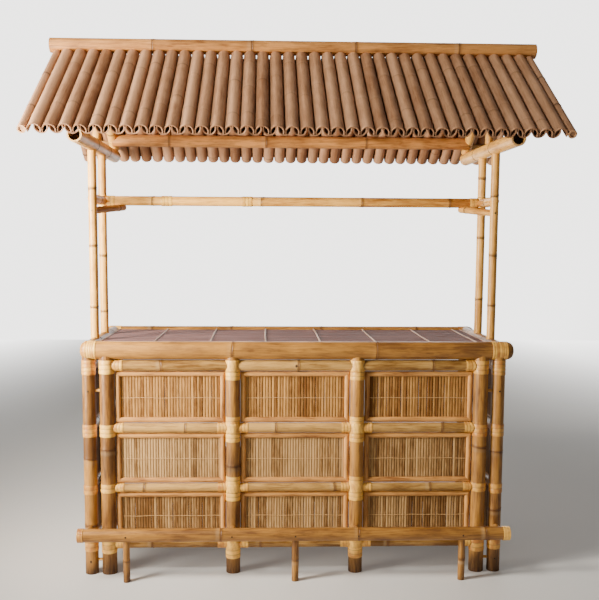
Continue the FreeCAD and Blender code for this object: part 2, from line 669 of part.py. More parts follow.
def make_roof_covering():
    """Caps over pans, a round pole at each gable edge, laths below and the ridge pole."""
    start = down_to(RIDGE_CLEAR)
    length = down_to(EAVE_Y) - start
    pan_axis = TILE_D / 2
    cap_axis = pan_axis + cap_lift()
    cap = tile_section(TILE_D, TILE_WALL, TILE_RIM, cap_axis).extrude(Vector(0, length, 0))
    pan = tile_section(TILE_D, TILE_WALL, TILE_RIM, 0)
    pan.rotate(Vector(0, 0, 0), Vector(0, 1, 0), 180)
    pan.translate(Vector(0, 0, pan_axis))
    pan = pan.extrude(Vector(0, length, 0))
    first_cap = -TILE_PITCH * (CAP_COUNT - 1) / 2
    edge = Part.makeCylinder(EDGE_POLE_D / 2, length, Vector(0, 0, EDGE_POLE_D / 2), Vector(0, 1, 0))
    for row, sign in (("front", -1), ("rear", 1)):
        for n in range(CAP_COUNT):
            add(row + "_roof_caps", lay_on_slope(cap.copy(), first_cap + TILE_PITCH * n, start, sign))
        for n in range(CAP_COUNT - 1):
            add(row + "_roof_pans", lay_on_slope(pan.copy(), first_cap + TILE_PITCH * (n + 0.5), start, sign))
        for x in (-EDGE_X, EDGE_X):
            add("gable_edge_poles", lay_on_slope(edge.copy(), x, start, sign))
        for place in LATH_PLACES:
            lath = box(Vector(-FRAME_REACH, 0, -LATH_THICK), Vector(FRAME_REACH, LATH_W, 0))
            add("roof_laths", lay_on_slope(lath, 0, down_to(place) - LATH_W / 2, sign))
    crown = cap_axis + TILE_D / 2
    lip = on_slope(0, start, crown, 1)
    rise = math.sqrt((RIDGE_POLE_D / 2 + JOINT_GAP) ** 2 - lip.y ** 2)
    ridge_pole = along_x(-RIDGE_POLE_REACH, RIDGE_POLE_REACH, 0, lip.z + rise, RIDGE_POLE_D, RIDGE_POLE_WALL)
    add("ridge_pole", ridge_pole.solid())


def make_nails():
    """Every nail whose head shows, in the holes already made for them."""
    add("nails", *[nail(point, inward) for point, inward in nail_points])


def save():
    """Write one file for each node."""
    os.makedirs("parts", exist_ok=True)
    for name, shapes in nodes.items():
        shape = shapes[0] if len(shapes) == 1 else Part.makeCompound(shapes)
        shape.exportStep("parts/%s.step" % name)


peg_holes = make_counter_frame()
make_panels(peg_holes)
make_corner_wraps()
make_counter_top()
make_shelf()
make_foot_rail()
make_upper_frame()
make_upper_wraps()
make_trusses()
make_roof_covering()
make_nails()
save()
print(len(nodes), "nodes,", sum(len(shapes) for shapes in nodes.values()), "solids")
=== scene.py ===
import math

import bpy
import numpy as np
from mathutils import Euler, Matrix, Vector


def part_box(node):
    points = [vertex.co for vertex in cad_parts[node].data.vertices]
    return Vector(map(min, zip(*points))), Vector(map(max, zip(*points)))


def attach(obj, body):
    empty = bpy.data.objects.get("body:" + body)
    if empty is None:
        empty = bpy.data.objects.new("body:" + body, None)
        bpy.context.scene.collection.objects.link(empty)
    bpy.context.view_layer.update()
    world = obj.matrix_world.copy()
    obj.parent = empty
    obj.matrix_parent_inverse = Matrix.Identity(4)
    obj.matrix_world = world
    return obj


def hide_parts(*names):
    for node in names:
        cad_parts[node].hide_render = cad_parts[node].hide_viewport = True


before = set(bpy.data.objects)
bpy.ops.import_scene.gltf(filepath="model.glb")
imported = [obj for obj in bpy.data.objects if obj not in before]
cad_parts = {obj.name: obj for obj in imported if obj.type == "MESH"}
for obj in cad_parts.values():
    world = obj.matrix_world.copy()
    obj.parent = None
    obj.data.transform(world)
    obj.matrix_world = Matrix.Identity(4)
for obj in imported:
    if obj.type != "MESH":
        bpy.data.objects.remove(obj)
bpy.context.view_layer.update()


# Poles of the counter
# Round bamboo culms, dried, skinned and varnished. Each keeps its joints: a low
# ridge with a dark scar line, and a pale waxy band on one side of it.
rng = np.random.default_rng(20)
FACETS, ROW_STEP = 24, .06      # points round a pole, and metres between rows along it
NEAR_JOINT = np.array([-.030, -.018, -.011, -.0065, -.0035, -.0015, 0, .0015, .0035, .0065, .011, .018, .030])
SWELL, SWELL_REACH = .0010, .011
RIDGE, RIDGE_AT, RIDGE_REACH = .0008, .0035, .0022
SCAR, SCAR_AT, SCAR_REACH, SCAR_SPREAD = .0012, -.0012, .0017, .0040
HALO_AT, HALO_REACH = .004, .007
BLOOM_AT, BLOOM_REACH = -.015, .0065
FULL_JOINT_R = .024             # thinner poles have lower joints
OVAL, JOINT_TILT, TILT_REACH = .006, .08, .03
END_CLEAR = .03                 # random joints stay this far from the ends
GRAIN_SHIFT = 40
SHARP = math.radians(48)        # a steeper edge is shaded sharp


def shifted(coordinates):
    """Grain coordinates moved by a random amount, so that no two parts show the same grain."""
    return coordinates + rng.uniform(-GRAIN_SHIFT, GRAIN_SHIFT, 3)


def spread(down, across):
    """Two parameters over a grid: one goes down its rows and the other across them."""
    return np.meshgrid(down, across, indexing="ij")


def circle(count):
    """Even turns round a full circle."""
    return np.linspace(0, 2 * math.pi, count, endpoint=False)


def marked(shape, line=0, band=0, tone=0, worn=0):
    """The four marks of each point of a grid, which its material reads."""
    return np.stack([np.broadcast_to(mark, shape) for mark in (line, band, tone, worn)], -1) * 1.0


class Pole:
    """A straight pole of the frame: the line that it follows and its radius, in metres."""

    def __init__(self, start, end, radius):
        self.start = np.array(start, float)
        self.radius = radius
        span = np.array(end, float) - self.start
        self.length = float(np.linalg.norm(span))
        self.way = span / self.length
        back = np.array((0, 1.0, 0)) if abs(self.way[1]) < .9 else np.array((0, 0, -1.0))
        side = back - self.way * (back @ self.way)
        self.side = side / np.linalg.norm(side)
        self.over = np.cross(self.way, self.side)

    def skin(self, along, radius, turns):
        """Points at a distance along the line and a radius out from it: line + radius * (cos, sin)."""
        out = np.cos(turns)[..., None] * self.side + np.sin(turns)[..., None] * self.over
        return self.start + along[..., None] * self.way + radius[..., None] * out

    def grain(self, along, radius, turns):
        """The same points in the pole's own coordinates, across and along."""
        return shifted(np.stack([radius * np.cos(turns), radius * np.sin(turns), along], -1))


def ridge_profile(gap):
    """Height of the skin near a joint, from the distance to it: swelling plus ridge minus scar."""
    return (SWELL * np.exp(-(gap / SWELL_REACH) ** 2)
            + RIDGE * np.exp(-((gap - RIDGE_AT) / RIDGE_REACH) ** 2)
            - SCAR * np.exp(-((gap - SCAR_AT) / SCAR_REACH) ** 2))


def stations(length, joints, step):
    """Distances along a pole: even ones, and close ones round each joint."""
    near = (np.array(joints)[:, None] + NEAR_JOINT).ravel()
    even = np.linspace(0, length, max(2, int(length / step) + 1))
    return np.unique(np.round(np.clip(np.concatenate([even, near]), 0, length), 5))


def joint_marks(along, joints, tone, patches=(), step=.24):
    """Scar, bloom, tone and dirt at each distance: bell curves at the joints, one tone from joint to joint,
    and soft steps at the patches. A single tone gets a random step at each joint."""
    marks = marked(along.shape)
    for joint in joints:
        gap = along - joint
        marks[..., 0] += rng.uniform(.75, 1.1) * np.exp(-((gap - SCAR_AT) / SCAR_SPREAD) ** 2)
        marks[..., 0] += rng.uniform(.2, .6) * np.exp(-((gap - HALO_AT) / HALO_REACH) ** 2)
        marks[..., 1] += rng.uniform(.0, .6) * np.exp(-((gap - BLOOM_AT) / BLOOM_REACH) ** 2)
    drift = rng.uniform(-step, step, len(joints) + 1)
    steps = np.clip(tone if np.ndim(tone) else tone + drift, 0, 1)
    marks[..., 2] = steps[np.searchsorted(np.sort(joints), along)]
    for low, high, strength, soft in patches:
        marks[..., 3] += strength / (1 + np.exp(-(along - low) / soft)) / (1 + np.exp((along - high) / soft))
    return np.clip(marks, 0, 1)


def random_joints(length, spacing):
    """Joints along a pole, each a little more or less than the spacing from the last."""
    places = spacing * rng.uniform(.3, .9) + np.cumsum(np.r_[0, spacing * rng.uniform(.85, 1.15, 40)])
    return places[(places > END_CLEAR) & (places < length - END_CLEAR)]


def culm(pole, joints=None, tone=.5, spacing=.36, patches=(), facets=FACETS, ends=("flat", "flat"), wall=.008,
         bow=.0012, dome=0):
    """A culm: radius + ridge profile along the line, slightly oval, with a bow of half a sine and joints
    that lean. A dome rounds both ends by a quarter circle. The parts are points, grain and marks."""
    joints = random_joints(pole.length, spacing) if joints is None else np.array(joints, float)
    along = stations(pole.length, joints, ROW_STEP)
    if dome:
        curve = dome * (1 - np.cos(np.linspace(0, math.pi / 2, 6)))
        along = np.unique(np.r_[along, curve, pole.length - curve])
    height = sum((ridge_profile(along - joint) for joint in joints), np.zeros(len(along)))
    radius = pole.radius + height * min(1, pole.radius / FULL_JOINT_R)
    if dome:
        inset = np.clip(dome - np.minimum(along, pole.length - along), 0, dome)
        radius = radius - (dome - np.sqrt(np.clip(dome ** 2 - inset ** 2, 0, None)))
    s, a = spread(along, circle(facets))
    r = radius[:, None] * (1 + OVAL * np.cos(2 * (a - rng.uniform(0, math.pi))))
    tilt = sum((rng.normal(0, JOINT_TILT) * pole.radius * np.cos(a - rng.uniform(0, 6))
                * np.exp(-((s - joint) / TILT_REACH) ** 2) for joint in joints), np.zeros(s.shape))
    points = pole.skin(s + tilt, r, a)
    lean = rng.uniform(0, 2 * math.pi)
    arc = bow * np.sin(math.pi * along / pole.length)
    points += arc[:, None, None] * (math.cos(lean) * pole.side + math.sin(lean) * pole.over)
    part = points, pole.grain(s, r, a), joint_marks(s, joints, tone, patches)
    for end in (0, 1):
        if ends[end] != "flat":
            lip = hollow_end(*part, end, wall, pole, ends[end] == "shut")
            part = [np.concatenate((own, more) if end else (more[::-1], own)) for own, more in zip(part, lip)]
    return part


def put(name, data):
    """A new object in the scene."""
    thing = bpy.data.objects.new(name, data)
    bpy.context.scene.collection.objects.link(thing)
    return thing


def sew(name, parts, material, node):
    """One mesh from grids of points. A grid joins round, and flat faces shut its two ends."""
    faces = []
    count = 0
    for part in parts:
        shape = part[0].shape[:2]
        index = count + np.arange(math.prod(shape)).reshape(shape)
        around = np.roll(index, -1, 1)
        quads = np.stack([index[:-1], around[:-1], around[1:], index[1:]], -1)
        faces += [index[0][::-1].tolist(), index[-1].tolist()] + quads.reshape(-1, 4).tolist()
        count += index.size
    points, grain, marks = (np.concatenate([grid.reshape(-1, grid.shape[-1]) for grid in grids])
                            for grids in zip(*parts))
    mesh = bpy.data.meshes.new(name)
    mesh.from_pydata(points, [], faces)
    mesh.attributes.new("grain", "FLOAT_VECTOR", "POINT").data.foreach_set("vector", grain.ravel())
    mesh.attributes.new("marks", "FLOAT_COLOR", "POINT").data.foreach_set("color", marks.ravel())
    mesh.shade_smooth()
    mesh.set_sharp_from_angle(angle=SHARP)
    mesh.materials.append(material)
    piece = put(name, mesh)
    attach(piece, "root")
    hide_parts(node)


def shade(hex_colour):
    """A colour written as it looks on screen, as the linear values that a shader takes."""
    parts = [int(hex_colour[k:k + 2], 16) / 255 for k in (0, 2, 4)]
    return (*(p / 12.92 if p <= .04045 else ((p + .055) / 1.055) ** 2.4 for p in parts), 1)


class Finish:
    """The nodes of a material or of the studio's sky, and short ways to add them."""

    def __init__(self, owner):
        owner.use_nodes = True
        self.owner = owner
        self.tree = owner.node_tree
        self.shader = self.tree.nodes.get("Principled BSDF") or self.tree.nodes["Background"]

    def feed(self, socket, value):
        """Give a socket a number, a vector, a colour as it looks on screen, or another node's output."""
        if isinstance(value, bpy.types.NodeSocket):
            self.tree.links.new(value, socket)
        else:
            socket.default_value = shade(value) if isinstance(value, str) else value

    def add(self, kind, **inputs):
        """A new node whose inputs are fed by name."""
        node = self.tree.nodes.new("ShaderNode" + kind)
        for name, value in inputs.items():
            self.feed(node.inputs[name.replace("_", " ")], value)
        return node

    def attribute(self, name, output="Vector"):
        """What a mesh carries under a name."""
        node = self.add("Attribute")
        node.attribute_name = name
        return node.outputs[output]

    def mark(self, name):
        """One of the four marks that a mesh carries."""
        if name == "worn":
            return self.attribute("marks", "Alpha")
        node = self.add("SeparateColor", Color=self.attribute("marks", "Color"))
        return node.outputs[{"line": "Red", "band": "Green", "tone": "Blue"}[name]]

    def noise(self, vector, scale, detail=2, roughness=.5):
        """Noise with so many cells a metre along each axis."""
        fitted = self.add("Mapping", Vector=vector, Scale=scale).outputs["Vector"]
        return self.add("TexNoise", Vector=fitted, Scale=1, Detail=detail, Roughness=roughness).outputs["Fac"]

    def ramp(self, value, low, high, start=0, end=1):
        """A value from low to high, as one from start to end."""
        return self.add("MapRange", Value=value, From_Min=low, From_Max=high, To_Min=start,
                        To_Max=end).outputs["Result"]

    def join(self, operation, total, *values):
        """A number worked out from others, two at a time."""
        for value in values:
            node = self.add("Math")
            node.operation = operation
            self.feed(node.inputs[0], total)
            self.feed(node.inputs[1], value)
            total = node.outputs[0]
        return total

    def blend(self, share, first, second, mode="MIX"):
        """A share of the second colour over the first. The mix node's colour sockets go by number."""
        node = self.add("Mix")
        node.data_type = "RGBA"
        node.blend_type = mode
        for number, value in ((0, share), (6, first), (7, second)):
            self.feed(node.inputs[number], value)
        return node.outputs[2]

    def bump(self, height, distance, **normal):
        """A height as relief, over an earlier one if that is given as Normal."""
        return self.add("Bump", Height=height, Strength=1, Distance=distance, **normal).outputs["Normal"]

    def cover(self, colour, rough, specular, normal):
        """Feed the shader, and give the finished material."""
        for name, value in (("Base Color", colour), ("Roughness", rough), ("Specular IOR Level", specular),
                            ("Normal", normal)):
            self.feed(self.shader.inputs[name], value)
        return self.owner


def bamboo(name, pale, deep, scar="5A3618", bloom="D9C49A", dirt_and_shade="3A2412", gloss=.36, streak=.6, blotch=.7,
           speck=.55, cloud=.4, thread=.4):
    """Bamboo skin: fine streaks along the culm, broad patches, dark specks, and the marks at its joints."""
    finish = Finish(bpy.data.materials.new(name))
    grain, worn = finish.attribute("grain"), finish.mark("worn")
    fibres = finish.noise(grain, (170, 170, 7), 4, .65)
    threads = finish.noise(grain, (900, 900, 14))
    patches = finish.noise(grain, (18, 18, 6), 3, .55)
    clouds = finish.noise(grain, (75, 75, 13), 3, .6)
    dots = finish.noise(grain, (330, 330, 120), 1)
    mix = finish.join("ADD", finish.ramp(finish.mark("tone"), 0, 1, -.1, .9),
                      finish.ramp(patches, .3, .7, -blotch / 2, blotch / 2),
                      finish.ramp(fibres, .3, .7, -streak / 2, streak / 2),
                      finish.ramp(clouds, .5, .72, -.05, cloud))
    colour = finish.blend(mix, pale, deep)
    colour = finish.blend(finish.ramp(threads, .42, .75, 0, thread), colour, deep, "MULTIPLY")
    band = finish.join("MULTIPLY", finish.ramp(finish.mark("band"), 0, 1, 0, .55),
                       finish.ramp(fibres, .2, .8, .4, 1))
    colour = finish.blend(band, colour, bloom)
    colour = finish.blend(finish.ramp(dots, .73, .78, 0, speck), colour, dirt_and_shade)
    colour = finish.blend(finish.ramp(finish.mark("line"), .1, .8, 0, .78), colour, scar)
    # The last mark blends in the dark colour: real stains and dirt, and painted shade inside cut ends and on
    # the tiles.
    colour = finish.blend(finish.join("MULTIPLY", finish.ramp(clouds, .3, .6, .6, 1), worn), colour, dirt_and_shade)
    rough = finish.join("ADD", finish.ramp(patches, .3, .7, gloss - .05, gloss + .1),
                        finish.ramp(worn, 0, 1, 0, .25))
    fine = finish.bump(fibres, .00035)
    return finish.cover(colour, rough, .35, finish.bump(threads, .00012, Normal=fine))


X, Y, Z = 0, 1, 2


def middle(node, axis):
    """The middle of a node along one axis."""
    low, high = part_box(node)
    return (low[axis] + high[axis]) / 2


def lengthwise(node, radius, drop=0):
    """A pole along X from one end of a node to the other."""
    low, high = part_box(node)
    y, z = middle(node, Y), middle(node, Z) - drop
    return Pole((low.x, y, z), (high.x, y, z), radius)


def from_left(pole, places):
    """Places along X, as distances from a pole's left end."""
    return [x - pole.start[0] for x in places]


honey = bamboo("honey bamboo", "C0883E", "724A22")
side_x = middle("front_leg_right", X)
rail_low, rail_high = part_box("counter_front_rail")
rail_r = (rail_high.z - rail_low.z) / 2
RAIL_DOME, FRONT_RAIL_JOINTS = .030, (-.293, .380)
FRONT_RAIL_STAINS = ((.36, .64, .2, .03), (1.05, 1.32, .15, .03), (1.82, 1.93, .3, .02))
front_rail, rear_rail = (lengthwise("counter_%s_rail" % side, rail_r) for side in ("front", "rear"))
front_y, rear_y, rail_z = front_rail.start[1], rear_rail.start[1], front_rail.start[2]
# The front rail's tones step deeper from left to right: painted shade for the light falling off towards its
# right end.
sew("front_rail", [culm(front_rail, from_left(front_rail, FRONT_RAIL_JOINTS), (.28, .5, .72), dome=RAIL_DOME,
                        facets=36, bow=0, patches=FRONT_RAIL_STAINS)],
    honey, "counter_front_rail")
sew("rear_rail", [culm(rear_rail, None, .45, .5, dome=RAIL_DOME, facets=36, bow=0)], honey,
    "counter_rear_rail")


# Legs and posts
# Four legs carry the top rails, and four posts carry the front panel. They are
# sawn across and open at the foot, and stained by the floor.
LEG_R, END_POST_R, MID_POST_R = .031, .035, .033
DEEP_WALL, NEAR_WALL = .07, .005    # from a sawn end to the wall across the next joint
BRANCH_SCARS = {"front_leg_left": (.060, math.pi, .004), "front_panel_post_3": (.030, 2.24, .004)}
LEGS = {"front_leg_left": ((.235, .555), (.6, .28, .95), .12),
        "front_leg_right": ((.304, .587), (.8, .75, .35), .6),
        "rear_leg_left": ((.28, .62, .93), .45, .5),
        "rear_leg_right": ((.19, .52, .86), .5, .6)}
END_FOOT = [(-.1, .100, .62, .002), (-.1, .020, .7, .003)]
POSTS = ((END_POST_R, (.600,), .65, [(.490, .605, .5, .008)] + END_FOOT),
         (MID_POST_R, (.520,), .45, [(.488, .633, .35, .008), (.49, .53, .4, .008), (.221, .350, .5, .01),
                                     (-.1, .068, .7, .002), (-.1, .030, .3, .01)]),
         (MID_POST_R, (), .45, [(.480, .560, .25, .02), (-.1, .084, .7, .002), (-.1, .025, .4, .005)]),
         (END_POST_R, (.613,), .45, [(.590, .612, .5, .006)] + END_FOOT))


def culms(node, parts, material=honey, slot="bamboo_pole"):
    """The culms of one node as a piece that is named after it."""
    sew(node + "_bamboo", parts, material, node)


def hollow_end(points, grain, marks, end, wall, pole, shut):
    """Rows that turn over a cut end: its ring drawn in by the wall, then moved back inside the pole to the
    joint's inner wall, near or deep. The inside is darkened with painted shade, most deeply in an open end."""
    depth = NEAR_WALL if shut else DEEP_WALL
    ring = points[-end]
    centre = ring.mean(0)
    inward = -pole.way if end else pole.way
    shares = (pole.radius - wall * np.array([.06, .94, 1, 1, 1])) / pole.radius
    depths = np.array([0, 0, .002, depth * .5, depth])
    rows = centre + (ring - centre) * shares[:, None, None] + inward * depths[:, None, None]
    own, dirt_and_shade = (np.repeat(grid[-end][None], 5, 0) for grid in (grain, marks))
    # Painted shade inside the end, darker deeper in: strong in an open end, light in a shut one.
    dirt_and_shade[:, :, 3] = np.array([0, .1, .2, .3, .3] if shut else [0, .1, .6, 1, 1])[:, None]
    dirt_and_shade[:5 if shut else 2, :, 1] = 1
    return rows, own, dirt_and_shade


def branch_scar(pole, along, turn, size):
    """Where a branch was cut: a low ring with a dark hollow, rows of rings that follow the pole's skin."""
    shares = np.array([.1, .4, .75, .9, 1.1, 1.3])
    lift = np.array([.0001, .0001, .0004, .0010, .0008, -.0004])
    s, a = spread(np.arange(6), circle(12))
    reach = size * shares[s]
    turns = turn + reach * np.sin(a) / pole.radius
    points = pole.skin(along + reach * np.cos(a), pole.radius + lift[s], turns)
    return points, points, marked(s.shape, line=np.array([1, 1, .8, 0, 0, 0])[s], tone=.7,
                                  worn=np.array([1, 1, 1, .6, .3, .1])[s])


def standing(node, y, radius, joints, tone, patches):
    """A leg or a post from the floor to the rail, with the scar of a branch where it has one."""
    x = middle(node, X)
    pole = Pole((x, y, 0), (x, y, rail_z), radius)
    parts = [culm(pole, joints, tone, ends=("open", "flat"), patches=patches)]
    if node in BRANCH_SCARS:
        parts.append(branch_scar(pole, *BRANCH_SCARS[node]))
    culms(node, parts)
    return pole


legs = {name: standing(name, middle(name, Y), LEG_R, joints, tone,
                       [(-.1, .105, dirt_and_shade, .004), (-.1, .022, .9, .003), (joints[-1], 1.1, .12, .01)])
        for name, (joints, tone, dirt_and_shade) in LEGS.items()}
posts = [standing("front_panel_post_%d" % number, front_y, *post) for number, post in enumerate(POSTS, 1)]
SIDE_RAIL_R = .031
side_rail_z = middle("counter_side_rail_left", Z)
for side, x in (("left", -side_x), ("right", side_x)):
    rail = Pole((x, front_y, side_rail_z), (x, rear_y, side_rail_z), SIDE_RAIL_R)
    sew("side_rail_" + side, [culm(rail, None, .7, .3)], honey, "counter_side_rail_" + side)


# Panel rails
# Thinner culms between the posts, at four levels in front and on each side.
# Their ends are hollowed to sit on the posts.
PANEL_LEVELS = (.999, .702, .414, .142)
PANEL_R = (.026, .023, .020, .022)
FRONT_JOINTS = ((-.627, .013, .651), (-.516, -.090, .699), (-.712, .189, .648), (-.674, -.162, .45))
FRONT_TONES = ((.62, .5, .8), (.12, .05, .5), (.3, .4, .6), (.95, .95, .85))
front_rails = []
parts = []
for z, radius, knots, tones in zip(PANEL_LEVELS, PANEL_R, FRONT_JOINTS, FRONT_TONES):
    for left, right, knot, tone in zip(posts, posts[1:], knots, tones):
        rail = Pole((left.start[0], front_y, z), (right.start[0], front_y, z), radius)
        front_rails.append((rail, left, right))
        parts.append(culm(rail, from_left(rail, [knot]), tone, bow=.0006))
KNOT_X, KNOT_TURN, KNOT_SIZE = .004, math.pi, .006
knotted = front_rails[1][0]
parts.append(branch_scar(knotted, KNOT_X - knotted.start[0], KNOT_TURN, KNOT_SIZE))
straw = bamboo("straw bamboo", "CEA058", "744E1E")
sew("front_rails", parts, straw, "front_panel_rails")
side_panel_rails = []
for side in ("left", "right"):
    front, rear = legs["front_leg_" + side], legs["rear_leg_" + side]
    rails = [Pole((front.start[0], front_y, z), (front.start[0], rear_y, z), radius)
             for z, radius in zip(PANEL_LEVELS, PANEL_R)]
    side_panel_rails += [(rail, front, rear) for rail in rails]
    sew("side_rails_" + side, [culm(rail, None, .45, .4) for rail in rails], straw,
        "side_panel_rails_" + side)
SHELF_RAIL_R = .023
for node, z, radius, tone, spacing in (("shelf_rail", PANEL_LEVELS[2], SHELF_RAIL_R, .5, .4),
                                       ("rear_bottom_rail", PANEL_LEVELS[3], PANEL_R[3], .6, .42)):
    culms(node, [culm(Pole((-side_x, rear_y, z), (side_x, rear_y, z), radius), None, tone, spacing)])


# Foot rail
# A thick culm nailed to short poles from the legs and middle posts, on three
# thin supports. Both ends are sawn and bound with one ring of rattan.
FOOT_R, FOOT_JOINTS = .031, (-.345, .296, .892)
foot_rail = lengthwise("foot_rail", FOOT_R)
foot_y, foot_z = foot_rail.start[1:]
culms("foot_rail", [culm(foot_rail, from_left(foot_rail, FOOT_JOINTS), (.55, .6, .7, .75),
                         ends=("open", "open"), bow=0, patches=[(.60, .66, .3, .006)])])
SUPPORT_R, SUPPORT_PLACES = .016, (-.781, 0, .781)
culms("foot_rail_supports", [culm(Pole((x, foot_y, 0), (x, foot_y, foot_z), SUPPORT_R), [.10], .85, facets=16,
                                  ends=("open", "flat"), patches=[(-.1, .030, .6, .002)])
                             for x in SUPPORT_PLACES])
middle_posts = posts[1].start[0], posts[2].start[0]
culms("foot_rail_spacers", [culm(Pole((x, foot_y, foot_z), (x, front_y, foot_z), SUPPORT_R), [], .6,
                                 facets=16) for x in (-side_x, *middle_posts, side_x)])


# Rattan bindings
# Flat peeled cane, about 6 to 20 mm wide, wound tightly round the joints of the
# frame and nailed at its ends. It is paler than the poles.
CANE, THIN_CANE, NARROW_CANE = .019, .0135, .0105
CANE_PROUD, CANE_ROUND, CANE_SLANT = .0020, 24, .35
CANE_ROWS = np.array([.02, .1, .3, .5, .7, .9, .98])
LASH_STRIPS, LASH_LEAN, CANE_TONES = 13, .35, .3


def binding(pole, low, high, tone=.4, cane_width=CANE, posts=(None, None)):
    """Turns of cane: a row of low crowns along the pole, moved by a share of one width in each turn round it.
    An end that meets a post's own binding follows that round surface."""
    count = max(1, round((high - low) / cane_width))
    width = (high - low) / count
    along = np.r_[0, (np.arange(count)[:, None] + CANE_ROWS).ravel() * width, high - low]
    s, a = spread(along, circle(CANE_ROUND))
    edge = np.abs(2 * ((s / width) % 1) - 1)
    crown = CANE_PROUD * (1 - .55 * edge ** 5)
    crown[0] = crown[-1] = 0
    shift = width * (a / (2 * math.pi) - .5) * np.sin(math.pi * s / (high - low))
    radius = pole.radius + crown
    level = np.cross(pole.way, (0, 0, 1.0))
    off_axis = radius * (np.cos(a) * (pole.side @ level) + np.sin(a) * (pole.over @ level))
    first, last = (place if post is None else
                   place + sign * (np.sqrt((post.radius + 2 * CANE_PROUD) ** 2 - off_axis ** 2) - post.radius)
                   for place, sign, post in ((low, 1, posts[0]), (high, -1, posts[1])))
    points = pole.skin(first + (last - first) * s / (high - low) + shift * CANE_SLANT, radius, a)
    grain = pole.grain(s, radius, a)
    turn = np.clip((s / width).astype(int), 0, count - 1)
    tones = np.clip(tone + rng.uniform(-CANE_TONES, CANE_TONES, count)[turn], 0, 1)
    return points, grain, marked(s.shape, line=edge ** 7, tone=tones)


def lash(post, middle_z, reach, tone=.3):
    """Strips that cross over the turns where a rail meets a post: upright crowns round the post."""
    t, a = spread([0, .04, .2, .5, .8, .96, 1], circle(LASH_STRIPS * 6))
    place = (a + LASH_LEAN * (t - .5)) * LASH_STRIPS / (2 * math.pi)
    edge = np.abs(2 * (place % 1) - 1)
    rise = np.clip(np.minimum(t, 1 - t) / .04, 0, 1)
    radius = post.radius + CANE_PROUD * (.8 + rise * (1 - .5 * edge ** 4))
    s = middle_z - post.start[2] + reach * (2 * t - 1)
    strip = place.astype(int) % LASH_STRIPS
    tones = np.clip(tone + rng.uniform(-CANE_TONES, CANE_TONES, LASH_STRIPS)[strip], 0, 1)
    grain = shifted(np.stack([s, np.cos(a) * radius, a * post.radius], -1))
    return post.skin(s, radius, a), grain, marked(s.shape, line=.7 * edge ** 5, tone=tones)


def cane(name, pale, deep, gap):
    """Peeled cane: fibres round the pole, a dark gap between turns, and a shine."""
    finish = Finish(bpy.data.materials.new(name))
    grain = finish.attribute("grain")
    fibres = finish.noise(grain, (40, 40, 900))
    patches = finish.noise(grain, (45, 45, 30), 3)
    mix = finish.join("ADD", finish.ramp(finish.mark("tone"), 0, 1, 0, .8),
                      finish.ramp(patches, .3, .7, -.3, .35))
    colour = finish.blend(mix, pale, deep)
    colour = finish.blend(finish.ramp(fibres, .4, .75, 0, .2), colour, deep, "MULTIPLY")
    colour = finish.blend(finish.ramp(finish.mark("line"), .1, .9, 0, .7), colour, gap)
    return finish.cover(colour, finish.ramp(patches, .3, .7, .34, .46), .5, finish.bump(fibres, .0002))


peach_cane = cane("peeled cane", "FFC85A", "B87630", "7A5230")


def wrap(name, rings, node):
    """The rattan of one node as a piece."""
    sew(name, rings, peach_cane, node)


END_LEVELS = ((.960, 1.026), (.661, .721), (.394, .437), (.101, .185))
MID_LEVELS = ((.931, 1.026), (.636, .758), (.353, .471), (.072, .212))
LEG_LEVELS = ((.955, 1.026), (.661, .721), (.385, .432), (.110, .175))
POST_CANE = (.3, .2, .45, .75)
rings = []
for post, tone in zip(posts, POST_CANE):
    between = post.radius == MID_POST_R
    rings += [binding(post, *level, tone) for level in (MID_LEVELS if between else END_LEVELS)]
    if between:
        rings += [lash(post, z, radius) for z, radius in zip(PANEL_LEVELS, PANEL_R)]
wrap("post_bindings", rings, "post_wraps")
rings = [binding(leg, *level, .95) for leg in legs.values() for level in LEG_LEVELS]
wrap("leg_bindings", rings, "leg_wraps")
RAIL_WRAP = .040
rings = []
for rail, first, last in front_rails + side_panel_rails:
    top = rail.start[2] == PANEL_LEVELS[0]
    if not (top and first.radius == MID_POST_R):
        rings.append(binding(rail, first.radius, first.radius + RAIL_WRAP, .6, THIN_CANE, (first, None)))
    if not (top and last.radius == MID_POST_R):
        end = rail.length - last.radius
        rings.append(binding(rail, end - RAIL_WRAP, end, .6, THIN_CANE, (None, last)))
wrap("rail_bindings", rings, "rail_end_wraps")
CORNER_WRAP, DOME_LAP = .078, .008
rings = []
for rail in (front_rail, rear_rail):
    for x, tone in ((-side_x, .4), (side_x, .75)):
        centre = x - rail.start[0]
        rings.append(binding(rail, max(centre - CORNER_WRAP / 2, RAIL_DOME - DOME_LAP),
                             min(centre + CORNER_WRAP / 2, rail.length - RAIL_DOME), tone, NARROW_CANE))
wrap("corner_bindings", rings, "corner_wraps")
RING_LENGTHS, RING_CANES = (.028, .033), (.007, .0065)
wrap("foot_rail_bindings", [binding(foot_rail, 0, RING_LENGTHS[0], .7, RING_CANES[0]),
                            binding(foot_rail, foot_rail.length - RING_LENGTHS[1], foot_rail.length, .1,
                                    RING_CANES[1])], "foot_rail_wraps")


# Mats
# Thin split bamboo, about 13 mm wide, stitched side by side with thread in one
# line across each mat, and held between the rails by the mouldings.
SPLIT, SPLIT_UNEVEN = .0128, .0006
SPLIT_TURNS = np.radians([0, 90, 180, 196, 218, 270, 322, 344])
# How dark each point round a slat's section is painted: painted shade at the edges, in the grooves between
# slats.
SPLIT_GROOVE_SHADE = np.array([1, 0, 1, .95, .45, 0, .45, .95])
MAT_FACE, MAT_THICK = .004, .005
SLAT_BEND, SLAT_TONES, SLAT_WEAR = .0004, .24, .18
DRIFT_KEPT, DRIFT_STEP = .8, .12    # how a tone wanders from slat to slat
THREAD_R, THREAD_WAVE, THREAD_SAG = .0014, .0006, .0015
RIM, RIM_LAP, FRAME_GAP, MOULDING_W, STITCH_AT = .0125, .8, .0003, .025, .48


